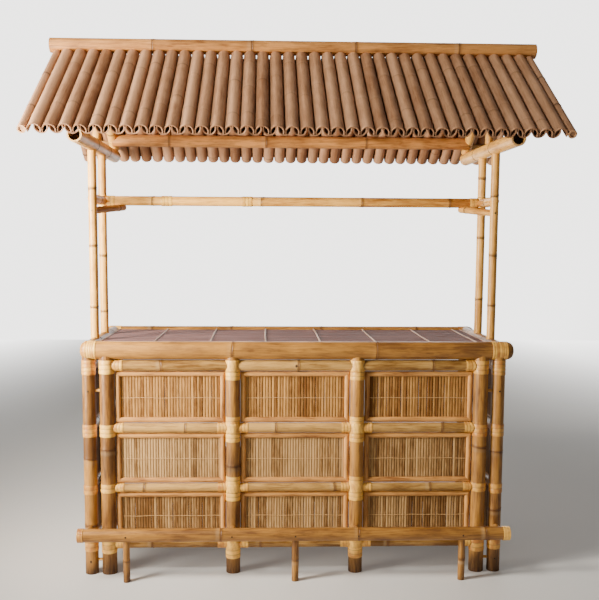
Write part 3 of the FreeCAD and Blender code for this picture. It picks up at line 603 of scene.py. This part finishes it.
def split_mat(left, right, bottom, top, tones, width):
    """Slats side by side in the XZ plane: half-oval sections, each a little bent, its front at y = 0.
    The tone steps at the given shares of the mat's width, as the mat is sewn from several bunches."""
    count = max(1, round((right - left) / width))
    width = (right - left) / count
    starts = np.array([share for share, tone in tones])
    t, a = spread(np.linspace(0, 1, 5), SPLIT_TURNS)
    drift = 0
    parts = []
    for n in range(count):
        drift = DRIFT_KEPT * drift + rng.normal(0, DRIFT_STEP)
        tone = tones[np.searchsorted(starts, (n + .5) / count) - 1][1]
        wide = width * rng.uniform(1.0, 1.05) / 2
        centre = left + width * (n + .5) + rng.normal(0, SLAT_BEND) * np.sin(math.pi * t)
        x = centre - wide * np.cos(a)
        depth = np.where(np.sin(a) > 0, .5, 1.0) * MAT_THICK / 2
        y = MAT_THICK / 2 + depth * np.sin(a) + rng.uniform(0, SPLIT_UNEVEN)
        z = bottom + (top - bottom) * t
        grain = np.stack([x + rng.uniform(-GRAIN_SHIFT, GRAIN_SHIFT), y,
                          z + rng.uniform(-GRAIN_SHIFT, GRAIN_SHIFT)], -1)
        # Painted shade in the grooves, a little stronger or weaker on each slat.
        line = SPLIT_GROOVE_SHADE * rng.uniform(.5, 1)
        tone = np.clip(tone + drift + rng.normal(0, SLAT_TONES), 0, 1)
        worn = np.clip(rng.normal(0, SLAT_WEAR), 0, .6)
        parts.append((np.stack([x, y, z], -1), grain, marked(t.shape, line, 0, tone, worn)))
    return parts


def stitch(left, right, z):
    """A thread that goes in front of one slat and behind the next: a cosine of two slats' width."""
    steps = np.linspace(0, 1, max(8, round((right - left) / SPLIT) * 4))
    t, a = spread(steps, circle(5))
    wave = -THREAD_WAVE - THREAD_WAVE * np.cos(math.pi * (right - left) * t / SPLIT)
    sag = THREAD_SAG * np.sin(t * 17 + rng.uniform(0, 6)) * np.sin(t * 5)
    x = left + (right - left) * t
    points = np.stack([x, wave + THREAD_R * np.cos(a), z + sag - THREAD_R * np.sin(a)], -1)
    return points, points, marked(t.shape, tone=.05)


def half_round(left, right, bottom, top):
    """Four half-round strips whose mitred ends meet on the frame's diagonals, flat side at y = 0."""
    turns = np.linspace(0, math.pi, 9)
    t, inset = spread(np.linspace(0, 1, 8), MOULDING_W / 2 * (1 - np.cos(turns)))
    y = np.broadcast_to(-MOULDING_W / 2 * np.sin(turns), t.shape)
    parts = []
    for side in range(4):
        level = side % 2 == 0
        run = inset + ((right - left if level else top - bottom) - 2 * inset) * t
        x, z = {0: (left + run, bottom + inset), 1: (right - inset, bottom + run),
                2: (right - run, top - inset), 3: (left + inset, top - run)}[side]
        points = np.stack([x, y, z], -1)
        marks = marked(t.shape, tone=rng.uniform(.1, .6))
        parts.append((points, shifted(points[..., ::-1] if level else points), marks))
    return parts


def placed(parts, base, outward):
    """Parts made facing -Y, set back to the mats' face, turned about Z and moved to their base point."""
    c, s = math.cos(outward), math.sin(outward)
    turn = np.array(((c, s, 0), (-s, c, 0), (0, 0, 1)))
    return [((points + (0, MAT_FACE, 0)) @ turn + base, grain, marks) for points, grain, marks in parts]


def split_bamboo(name, pale, deep, dark, gold):
    """Split bamboo: fine streaks along each slat, and slats of many tones from straw to brown."""
    finish = Finish(bpy.data.materials.new(name))
    grain = finish.attribute("grain")
    streaks = finish.noise(grain, (700, 500, 9), 3, .6)
    patches = finish.noise(grain, (60, 60, 18), 3)
    mix = finish.join("ADD", finish.ramp(finish.mark("tone"), 0, 1, -.1, 1.0),
                      finish.ramp(streaks, .3, .7, -.3, .3), finish.ramp(patches, .3, .7, -.25, .3))
    colour = finish.blend(mix, pale, deep)
    colour = finish.blend(finish.mark("band"), colour, gold, "MULTIPLY")
    stain = finish.join("MULTIPLY", finish.mark("worn"), finish.ramp(patches, .3, .7, .4, 1))
    colour = finish.blend(stain, colour, dark)
    # The line mark paints shade into the grooves between the slats.
    colour = finish.blend(finish.mark("line"), colour, dark)
    return finish.cover(colour, finish.ramp(streaks, .3, .7, .6, .75), .12, finish.bump(streaks, .0003))


straw_mat = split_bamboo("split bamboo mat", "C99E66", "765028", "2E1A0C", "FFEECE")
light_strip = bamboo("half round strip", "DEA056", "865426", gloss=.42, speck=.3)
MATS = ((.0137, ((0, .6),), ((0, .32), (.5, .62)), ((0, .62), (.42, .9), (.62, .66))),
        (.0128, ((0, .2), (.6, .28)), ((0, .2), (.55, .3)), ((0, .52), (.7, .62))),
        (.0128, ((0, .72), (.53, .9)), ((0, .45),), ((0, .34), (.4, .62), (.8, .5))))
SIDE_MATS = [(SPLIT, ((0, .4), (.45, .55)))] * 3


def clear_of(radius):
    """How far from a pole's line a mat's frame ends: where its back meets the round cane, and a gap."""
    return math.sqrt((radius + CANE_PROUD) ** 2 - MAT_FACE ** 2) + FRAME_GAP


def bay(first_radius, last_radius, span, rows):
    """Three mats with their frames between two posts, from the first post's line. The top row is golden."""
    mats, frames = [], []
    left, right = clear_of(first_radius), span - clear_of(last_radius)
    for row, (width, bunches) in enumerate(rows):
        top = PANEL_LEVELS[row] - clear_of(PANEL_R[row])
        bottom = PANEL_LEVELS[row + 1] + clear_of(PANEL_R[row + 1])
        lap = RIM * RIM_LAP
        slats = split_mat(left + lap, right - lap, bottom + lap, top - lap, bunches, width)
        for points, grain, marks in slats:
            marks[..., 1] = row == 0
        mats += slats + [stitch(left + RIM, right - RIM, bottom + (top - bottom) * STITCH_AT)]
        frames += half_round(left, right, bottom, top)
    return mats, frames


def panels(group, bays):
    """All mats of the front or the sides as one piece, and all their mouldings as another."""
    mats, frames = [], []
    for base, outward, first_radius, last_radius, span, rows in bays:
        slats, strips = bay(first_radius, last_radius, span, rows)
        mats += placed(slats, base, outward)
        frames += placed(strips, base, outward)
    sew(group + "_mats_split", mats, straw_mat, group + "_mats")
    sew(group + "_mouldings_strips", frames, light_strip, group + "_mouldings")


panels("front", [((first.start[0], front_y, 0), 0, first.radius, last.radius, last.start[0] - first.start[0],
                  [(row[0], row[number + 1]) for row in MATS])
                 for number, (first, last) in enumerate(zip(posts, posts[1:]))])
panels("side", [(base, outward, LEG_R, LEG_R, rear_y - front_y, SIDE_MATS) for base, outward in
                (((-side_x, rear_y, 0), -math.pi / 2), ((side_x, front_y, 0), math.pi / 2))])


# Counter top
# Bamboo opened and pressed flat, laid side by side across hidden bearers, and
# held down by thin half-round strips. Its cut face is a dull mauve brown.
SLATS, SLAT_GAP, SLAT_EDGE, SLAT_ROWS = 18, .0008, .0012, 40
SLAT_WAVE, SLAT_WAVES = .0005, (8, 15)


def boards(low, high, count, width, pitch):
    """Flat slats along X, side by side in a box: a long grid of a rounded section, with slight waves."""
    parts = []
    for front in low.y + pitch * np.arange(count):
        tone = rng.uniform(.2, .8)
        back = front + width
        section_y = [front + SLAT_EDGE, (front + back) / 2, back - SLAT_EDGE, back, back, back - SLAT_EDGE,
                     front + SLAT_EDGE, front, front]
        section_z = np.array([high.z, high.z, high.z, high.z - SLAT_EDGE, low.z + SLAT_EDGE, low.z, low.z,
                              low.z + SLAT_EDGE, high.z - SLAT_EDGE])
        t, y = spread(np.linspace(0, 1, SLAT_ROWS), section_y)
        wave = SLAT_WAVE * np.sin(t * rng.uniform(*SLAT_WAVES) + rng.uniform(0, 6))
        z = section_z + np.where(section_z > (low.z + high.z) / 2, wave - SLAT_WAVE, 0)
        points = np.stack([low.x + (high.x - low.x) * t, y, z], -1)
        parts.append((points, shifted(points[..., [1, 2, 0]]), marked(t.shape, tone=tone)))
    return parts


def pressed_bamboo(name, pale, deep, crack):
    """Opened bamboo: long cracks that start and stop, over streaks and patches."""
    finish = Finish(bpy.data.materials.new(name))
    grain = finish.attribute("grain")
    streaks = finish.noise(grain, (420, 420, 6), 3, .6)
    cracks = finish.noise(grain, (240, 60, 3.2), 1)
    patches = finish.noise(grain, (25, 25, 6), 3)
    mix = finish.join("ADD", finish.ramp(finish.mark("tone"), 0, 1, 0, .8),
                      finish.ramp(streaks, .25, .75, -.3, .3), finish.ramp(patches, .3, .7, -.25, .25))
    colour = finish.blend(mix, pale, deep)
    colour = finish.blend(finish.ramp(cracks, .66, .70, 0, .8), colour, crack)
    return finish.cover(colour, finish.ramp(streaks, .3, .7, .6, .74), .12, finish.bump(streaks, .0003))


mauve_board = pressed_bamboo("pressed bamboo board", "8C6660", "583C38", "2A1814")
low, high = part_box("counter_top_slats")
pitch = (high.y - low.y + SLAT_GAP) / SLATS
sew("counter_slats", boards(low, high, SLATS, pitch - SLAT_GAP, pitch), mauve_board,
    "counter_top_slats")
STRIP_PITCH, STRIP_SHIFT, LAST_STRIP_X, STRIP_R, END_STRIP_R = .2645, .1235, .880, .0045, .004
STRIP_WANDER, STRIP_WAVES, STRIP_RISE = .0012, 9, .98
strip_low, strip_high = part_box("counter_top_strips")
end_x = strip_high.x - END_STRIP_R
strip_places = [STRIP_SHIFT + STRIP_PITCH * n for n in range(-3, 3)] + [LAST_STRIP_X]


def thin_strip(x, radius):
    """Half a thin cane laid flat side down along Y: a half circle carried along a slight wave."""
    t, a = spread(np.linspace(strip_low.y, strip_high.y, 16), np.linspace(0, math.pi, 7))
    wander = STRIP_WANDER * np.sin(t * STRIP_WAVES + rng.uniform(0, 6))
    points = np.stack([x + wander - radius * np.cos(a), t, strip_low.z + radius * np.sin(a) * STRIP_RISE], -1)
    return points, shifted(points[..., [0, 2, 1]]), marked(t.shape, tone=.15)


straw_strip = bamboo("thin strip", "B08868", "785038", gloss=.5, speck=.2)
strips = [thin_strip(x, STRIP_R) for x in strip_places]
strips += [thin_strip(x, END_STRIP_R) for x in (-end_x, end_x)]
sew("counter_strips", strips, straw_strip, "counter_top_strips")
BEARER_R, SHELF_BEARER_R = .014, .017
bearer_z = middle("counter_top_bearers", Z)


def bearers(places, z, radius):
    """Thin culms from the front line to the rear line at one height."""
    return [culm(Pole((x, front_y, z), (x, rear_y, z), radius), facets=16) for x in places]


sew("counter_bearers", bearers(strip_places, bearer_z, BEARER_R), honey, "counter_top_bearers")
culms("shelf_bearers", bearers([post.start[0] for post in posts], PANEL_LEVELS[2], SHELF_BEARER_R))
SHELF_SLATS, SHELF_SLAT_W = 10, .054
low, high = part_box("shelf_slats")
pitch = (high.y - low.y - SHELF_SLAT_W) / (SHELF_SLATS - 1)
sew("shelf_boards", boards(low, high, SHELF_SLATS, SHELF_SLAT_W, pitch), mauve_board,
    "shelf_slats")


# Roof posts and upper rail
# Paler, thinner culms. Two posts stand on each side rail of the counter, and
# short rails, one long rail and two corner braces hold them apart.
cream = bamboo("cream bamboo", "FFC260", "A86C2A", gloss=.38)
PALE = cream, "pale_bamboo"
ROOF_POST_R = .0205
post_top = middle("tie_beam_left", Z)
ROOF_JOINTS = {"front_left": (1.258, 1.55, 1.821), "front_right": (1.27, 1.515, 1.80),
               "rear_left": (1.217, 1.50, 1.79), "rear_right": (1.285, 1.60, 1.90)}
roof_posts = {}
for name, heights in ROOF_JOINTS.items():
    node = "roof_post_" + name
    x, y = middle(node, X), middle(node, Y)
    roof_posts[name] = Pole((x, y, side_rail_z), (x, y, post_top), ROOF_POST_R)
    culms(node, [culm(roof_posts[name], [z - side_rail_z for z in heights], .3, facets=20)], *PALE)
post_y = roof_posts["rear_left"].start[1]
upper_z, UPPER_R, UPPER_SIDE_R = middle("upper_rail", Z), .024, .023
UPPER_JOINTS = (-.711, -.159, .35, .797)
upper_rail = Pole((-side_x, post_y, upper_z), (side_x, post_y, upper_z), UPPER_R)
# The upper rail's tones step deeper from left to right: painted shade for the light falling off towards its
# right end.
culms("upper_rail", [culm(upper_rail, from_left(upper_rail, UPPER_JOINTS), (.1, .15, .45, .75, 1), bow=0)],
      *PALE)
culms("upper_side_rails", [culm(Pole((x, -post_y, upper_z), (x, post_y, upper_z), UPPER_SIDE_R), [.12], .4)
                           for x in (-side_x, side_x)], *PALE)
BRACE_R, BRACE_FRONT_Z, BRACE_INNER_X = .0165, 1.719, .872
BRACE_PAST, BRACE_BITE, BRACE_JOINT = .026, .006, .055
parts = []
for sign in (-1, 1):
    start = np.array((sign * side_x, -post_y, BRACE_FRONT_Z))
    under = np.array((sign * BRACE_INNER_X, post_y, upper_z - UPPER_R - BRACE_R + BRACE_BITE))
    way = (under - start) / np.linalg.norm(under - start)
    brace = Pole(start, under + way * BRACE_PAST, BRACE_R)
    parts.append(culm(brace, [brace.length - BRACE_JOINT], .6, facets=16, ends=("flat", "open"), wall=.005,
                      bow=0))
culms("corner_braces", parts, *PALE)
UPPER_WRAPS, POST_WRAP = ((-.668, -.613), (-.260, -.209)), .060
near = ROOF_POST_R + CANE_PROUD
far = upper_rail.length - near
at = upper_z - side_rail_z
spans = [(upper_rail, near, near + RAIL_WRAP), (upper_rail, far - RAIL_WRAP, far)]
spans += [(upper_rail, *from_left(upper_rail, places)) for places in UPPER_WRAPS]
spans += [(roof_posts["rear_" + side], at - POST_WRAP / 2, at + POST_WRAP / 2) for side in ("left", "right")]
wrap("upper_bindings", [binding(*span, .3) for span in spans], "upper_frame_wraps")


# Roof frame
# A tie beam on each pair of posts carries two plates, two rafters and a short
# upright under the ridge beam. Flat laths on the rafters carry the tiles.
PITCH = math.radians(34.5)
TIE_R, PLATE_R, RAFTER_R, KING_R, RIDGE_BEAM_R = .033, .032, .024, .021, .030
PLATE_Y, PLATE_Z, LATH_THICK = .442, 2.111, .008
for side in ("left", "right"):
    node = "tie_beam_" + side
    low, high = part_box(node)
    beam = Pole((middle(node, X), low.y, post_top), (middle(node, X), high.y, post_top), TIE_R)
    culms(node, [culm(beam, [.39, .70], .35, ends=("open", "open"), bow=0)], *PALE)
apex_z = PLATE_Z + PLATE_R / math.cos(PITCH) + PLATE_Y * math.tan(PITCH)


def on_slope(down, height, sign, x=0.0):
    """A point down a slope from the apex, and square above the undersides of the tiles."""
    out = down * math.cos(PITCH) + height * math.sin(PITCH)
    return np.array((x, sign * out, apex_z - down * math.sin(PITCH) + height * math.cos(PITCH)))


PLATE_JOINTS = (-.659, -.140, .402)
pale_ridge = bamboo("ridge bamboo", "DC9A54", "7A4A1E", gloss=.38)
for row, y in (("front", -PLATE_Y), ("rear", PLATE_Y)):
    plate = Pole((-side_x, y, PLATE_Z), (side_x, y, PLATE_Z), PLATE_R)
    culms(row + "_plate", [culm(plate, from_left(plate, PLATE_JOINTS), .6)], pale_ridge)
RAFTER_FOOT_Y, FOOT_WRAP = .500, .036
rafter_lift = -LATH_THICK - RAFTER_R
top_down = -rafter_lift * math.tan(PITCH)
foot_down = (RAFTER_FOOT_Y - rafter_lift * math.sin(PITCH)) / math.cos(PITCH)
parts, rings = [], []
for x in (-side_x, side_x):
    for sign in (-1, 1):
        rafter = Pole(*(on_slope(down, rafter_lift, sign, x) for down in (top_down, foot_down)), RAFTER_R)
        parts.append(culm(rafter, None, .4, .3, ends=("flat", "open"), wall=.006, bow=0))
        rings.append(binding(rafter, rafter.length - 2 * FOOT_WRAP, rafter.length - FOOT_WRAP, .5))
culms("rafters", parts, *PALE)
wrap("rafter_bindings", rings, "rafter_foot_wraps")
ridge_beam = lengthwise("ridge_beam", RIDGE_BEAM_R)
culms("king_posts", [culm(Pole((x, 0, post_top), (x, 0, ridge_beam.start[2]), KING_R), None, .4, .3)
                     for x in (-side_x, side_x)], *PALE)
culms("ridge_beam", [culm(ridge_beam, None, .6, .4, ends=("open", "open"))])


# Roof covering
# Culms split in half: pans with the hollow side up, caps with the hollow side
# down over the pans' edges, and a whole culm along each gable edge.
grey = bamboo("weathered bamboo", "CE9C74", "8E603E", scar="4A2E1A", bloom="CCA070", gloss=.45, streak=.4,
              blotch=.5, cloud=.2, thread=.25)
TILE_R, TILE_WALL, TILE_RIM, TILE_PITCH, CAPS = .0295, .0055, math.radians(20), .0625, 36
TILE_ARC, TILE_CUT, TILE_BEVEL, TILE_GAP, TILE_STEP = 13, .0015, .0036, .0003, .12
EDGE_R, EDGE_GAP, EAVE_Y, RIDGE_CLEAR, UNEVEN, LIP = .019, .001, .638, .001, .002, .01
TILE_SPACING, TILE_SIZES, TILE_WANDER, TILE_SWELL = (.3, .48), (.985, 1.01), .0006, .8
TILE_TONES, PALER_BLOOM = (.45, .2), .3
# The sawn end's marks, and the painted shade on the tiles' inner faces. Below, painted shade towards the
# edges, where caps and pans lie in each other.
SAWN_BAND, SAWN_TONE, SAWN_DIRT, INNER_SHADE = 0, .8, .25, .25
RIM_SHADE, RIM_FROM, RIM_SOFT = .6, .9, .7
tile_top = RIDGE_CLEAR / math.cos(PITCH)
tile_length = EAVE_Y / math.cos(PITCH) - tile_top


def cap_lift():
    """How far a cap's line lies above a pan's when the cap's edges sit in the pans."""
    offset = TILE_PITCH / 2 - TILE_R * math.cos(TILE_RIM)
    return TILE_R * math.sin(TILE_RIM) - math.sqrt((TILE_R - TILE_WALL) ** 2 - offset ** 2) + TILE_GAP


def tile(x, height, crown_up, sign, tone):
    """A split culm on a slope: an outer and an inner arc, joined at the edges, carried down the slope."""
    joints = random_joints(tile_length, rng.uniform(*TILE_SPACING))
    along = np.append(stations(tile_length, joints, TILE_STEP)[:-1], (tile_length - TILE_CUT, tile_length))
    bulge = sum((ridge_profile(along - joint) for joint in joints), np.zeros(len(along)))
    arc = np.linspace(-TILE_RIM, math.pi + TILE_RIM, TILE_ARC)
    s, a = spread(along, np.concatenate([arc, arc[::-1]]))
    inner = np.repeat((0.0, 1.0), TILE_ARC)
    outer = TILE_R * rng.uniform(*TILE_SIZES) + bulge[:, None] * TILE_SWELL
    r = np.where(inner > 0, TILE_R - TILE_WALL, outer)
    r[-1] = np.maximum(r[-1], TILE_R - TILE_BEVEL)
    wander = rng.normal(0, TILE_WANDER) * np.sin(math.pi * s / tile_length)
    across, up = -r * np.cos(a), (r if crown_up else -r) * np.sin(a)
    jut = rng.uniform(-UNEVEN, UNEVEN) if crown_up else -UNEVEN / 2
    down = tile_top + s + jut * (s > tile_length - LIP)
    out = down * math.cos(PITCH) + (height + up) * math.sin(PITCH)
    rise = apex_z - down * math.sin(PITCH) + (height + up) * math.cos(PITCH)
    points = np.stack([x + wander + across, sign * out, rise], -1)
    grain = shifted(np.stack([across, up, s], -1))
    marks = joint_marks(s, joints, tone, step=.1) * (rng.uniform(.1, .6), PALER_BLOOM, 1, 1)
    rim = np.clip((np.abs(a - math.pi / 2) - RIM_FROM) / RIM_SOFT, 0, 1)
    # Painted shade towards the edges, where caps and pans lie in each other, and on the inner faces.
    marks[..., 3] = RIM_SHADE * rim + INNER_SHADE * inner
    marks[-1, :, 1:] = SAWN_BAND, SAWN_TONE, SAWN_DIRT
    part = points, grain, np.clip(marks, 0, 1)
    return [grid[:, ::-1] for grid in part] if crown_up == (sign < 0) else part


cap_height = TILE_R + cap_lift()
first_cap = -TILE_PITCH * (CAPS - 1) / 2
edge_x = -first_cap + TILE_R + EDGE_GAP + EDGE_R
edges = []
for row, sign in (("front", -1), ("rear", 1)):
    tones = np.clip(rng.normal(*TILE_TONES, CAPS), .05, .95)
    caps = [tile(first_cap + TILE_PITCH * n, cap_height, True, sign, tones[n]) for n in range(CAPS)]
    sew(row + "_caps", caps, grey, row + "_roof_caps")
    pans = [tile(first_cap + TILE_PITCH * (n + .5), TILE_R, False, sign, tones[n] + .1)
            for n in range(CAPS - 1)]
    sew(row + "_pans", pans, grey, row + "_roof_pans")
    for x in (-edge_x, edge_x):
        pole = Pole(*(on_slope(down, EDGE_R, sign, x) for down in (tile_top, tile_top + tile_length)), EDGE_R)
        edges.append(culm(pole, None, .35, .3, facets=20, ends=("flat", "shut"), wall=.007, bow=0))
sew("gable_edge_culms", edges, grey, "gable_edge_poles")
LATH_PLACES, LATH_W, LATH_ROWS = (.150, .300, .505), .030, 24
low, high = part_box("roof_laths")
laths = []
for sign in (-1, 1):
    for place in LATH_PLACES:
        start = place / math.cos(PITCH) - LATH_W / 2
        corners = [on_slope(start + down, -depth, sign) for down, depth in
                   ((0, 0), (LATH_W, 0), (LATH_W, LATH_THICK), (0, LATH_THICK))]
        points = np.repeat(np.array(corners if sign < 0 else corners[::-1])[None], LATH_ROWS, 0)
        points[..., 0] = np.linspace(low.x, high.x, LATH_ROWS)[:, None]
        laths.append((points, shifted(points[..., [1, 2, 0]]), marked(points.shape[:2], tone=.5)))
sew("roof_lath_strips", laths, straw_mat, "roof_laths")
RIDGE_R, RIDGE_DROP, RIDGE_JOINTS = .035, .004, (-.686, -.208, .293, .798)
ridge = lengthwise("ridge_pole", RIDGE_R, RIDGE_DROP)
sew("ridge_culm", [culm(ridge, from_left(ridge, RIDGE_JOINTS), .4, ends=("open", "open"), bow=0, facets=32)],
    pale_ridge, "ridge_pole")


# Pegs and nails
# Turned pegs join the front panel to the side panels beside it. Small steel
# nails with flat heads hold the foot rail, the pegs and the corner braces.
PEG_R, PEG_LEVELS, PEG_DEPTH = .007, (.880, .065), .018
HEAD_R, HEAD_THICK, HEAD_CORE = .004, .0015, .0002
peg_places = [(sign, level) for sign in (-1, 1) for level in PEG_LEVELS]
sew("pegs", [culm(Pole((sign * (posts[3].start[0] + PEG_DEPTH), front_y, level),
                       (sign * (side_x - PEG_DEPTH), front_y, level), PEG_R), [], .3, facets=12, bow=0)
             for sign, level in peg_places], cream, "joining_dowels")


def nail_head(place):
    """A low dome facing -Y: a disc whose radius falls to nothing in five rings."""
    t, a = spread(np.linspace(0, math.pi / 2, 5), circle(12))
    r = HEAD_R * np.cos(t) + HEAD_CORE
    points = np.array(place) + np.stack([r * np.cos(a), -HEAD_THICK * np.sin(t), r * np.sin(a)], -1)
    return points, points, marked(t.shape)


steel = Finish(bpy.data.materials.new("dark nail steel"))
rust = steel.noise(steel.attribute("grain"), (700, 700, 700), 3)
steel.feed(steel.shader.inputs["Base Color"], steel.blend(rust, "4A4038", "2A1C14"))
steel.feed(steel.shader.inputs["Metallic"], .8)
steel.feed(steel.shader.inputs["Roughness"], .5)
nails = [(sign * side_x, front_y - LEG_R, level) for sign, level in peg_places]
nails += [(x, foot_y - FOOT_R, foot_z) for x in SUPPORT_PLACES + middle_posts]
nails += [(x, -post_y - ROOF_POST_R, BRACE_FRONT_Z) for x in (-side_x, side_x)]
sew("nail_heads", [nail_head(place) for place in nails], steel.owner, "nails")


# Floor, light and camera
# A pale studio floor that glows like the backdrop where it meets it, soft boxes
# on the left, and the view of the photograph.
AMBIENT, BACKDROP, BACKDROP_TINT = .19, 3.4, (1, .985, .96, 1)
FLOOR_REACH, FLOOR_ROWS = 9, 19
floor_mesh = bpy.data.meshes.new("floor")
s = np.linspace(-FLOOR_REACH, FLOOR_REACH, FLOOR_ROWS)
x, y = spread(s, s)
index = np.arange(x.size).reshape(x.shape)
quads = np.stack([index[:-1, :-1], index[1:, :-1], index[1:, 1:], index[:-1, 1:]], -1).reshape(-1, 4)
floor_mesh.from_pydata(np.stack([x, y, x * 0], -1).reshape(-1, 3), [], quads.tolist())
floor = put("floor", floor_mesh)
FLOOR_GLOW_Y, FLOOR_GLOW_X, GLOW_POWER = (1, 9), (1.9, 4.2), 1.6
pale = Finish(bpy.data.materials.new("pale floor"))
place = pale.add("TexCoord").outputs["Object"]
axes = pale.add("SeparateXYZ", Vector=place).outputs
far = pale.join("POWER", pale.ramp(axes["Y"], *FLOOR_GLOW_Y), GLOW_POWER)
beside = pale.ramp(pale.join("ABSOLUTE", axes["X"], 0), *FLOOR_GLOW_X, 0, BACKDROP)
for name, value in (("Base Color", pale.blend(pale.noise(place, (.6, .6, .6)), "E4E2DE", "DCDAD6")),
                    ("Roughness", .8), ("Emission Color", BACKDROP_TINT),
                    ("Emission Strength", pale.join("MULTIPLY", far, beside))):
    pale.feed(pale.shader.inputs[name], value)
floor_mesh.materials.append(pale.owner)

GLOW_WAY, GLOW_EDGE = Vector((0, 1, .1)).normalized(), (.80, .93)
sky = Finish(bpy.data.worlds.new("studio"))
toward = sky.add("VectorMath")
toward.operation = "DOT_PRODUCT"
sky.feed(toward.inputs[0], sky.add("TexCoord").outputs["Generated"])
sky.feed(toward.inputs[1], GLOW_WAY)
glow = sky.ramp(toward.outputs["Value"], *GLOW_EDGE, AMBIENT, BACKDROP)
glow.node.interpolation_type = "SMOOTHSTEP"
sky.feed(sky.shader.inputs["Strength"], glow)
sky.feed(sky.shader.inputs["Color"], BACKDROP_TINT)
bpy.context.scene.world = sky.owner

LAMPS = (("high key", (-2.4, -1.6, 4.0), (-.6, -.2, 2.2), 1.0, 46, (1, .95, .86), 110),
         ("low key", (-2.1, -1.2, 1.75), (-.6, 0, 1.7), .5, 80, (1, .94, .84), 120),
         ("side", (-2.5, -1.5, .85), (-.4, -.2, 1.1), .7, 36, (1, .94, .84), 120))
for name, place, target, size, power, colour, cone in LAMPS:
    data = bpy.data.lights.new(name, "AREA")
    data.size, data.energy, data.color, data.spread = size, power, colour, math.radians(cone)
    lamp = put(name, data)
    lamp.location = place
    lamp.rotation_euler = (Vector(target) - Vector(place)).to_track_quat("-Z", "Y").to_euler()

PHOTO_W, PHOTO_H, FILM = 599, 600, 36
CAMERA_PLACE = -.1433, -4.1806, 1.5886
FOCAL_PX, CENTRE_PX = 838.5, (293.4, 323.9)
YAW, TILT, ROLL = math.radians(1.952), math.radians(-5.768), math.radians(.331)
camera_data = bpy.data.cameras.new("camera")
camera_data.sensor_fit = "HORIZONTAL"
camera_data.sensor_width = FILM
camera_data.lens = FOCAL_PX * FILM / PHOTO_W
camera_data.shift_x = (PHOTO_W / 2 - CENTRE_PX[0]) / PHOTO_W
camera_data.shift_y = (CENTRE_PX[1] - PHOTO_H / 2) / PHOTO_W
camera = put("camera", camera_data)
camera.location = CAMERA_PLACE
level = Euler((math.pi / 2 + TILT, 0, -YAW)).to_matrix()
camera.rotation_euler = (level @ Matrix.Rotation(ROLL, 3, "Z")).to_euler()
bpy.context.scene.camera = camera
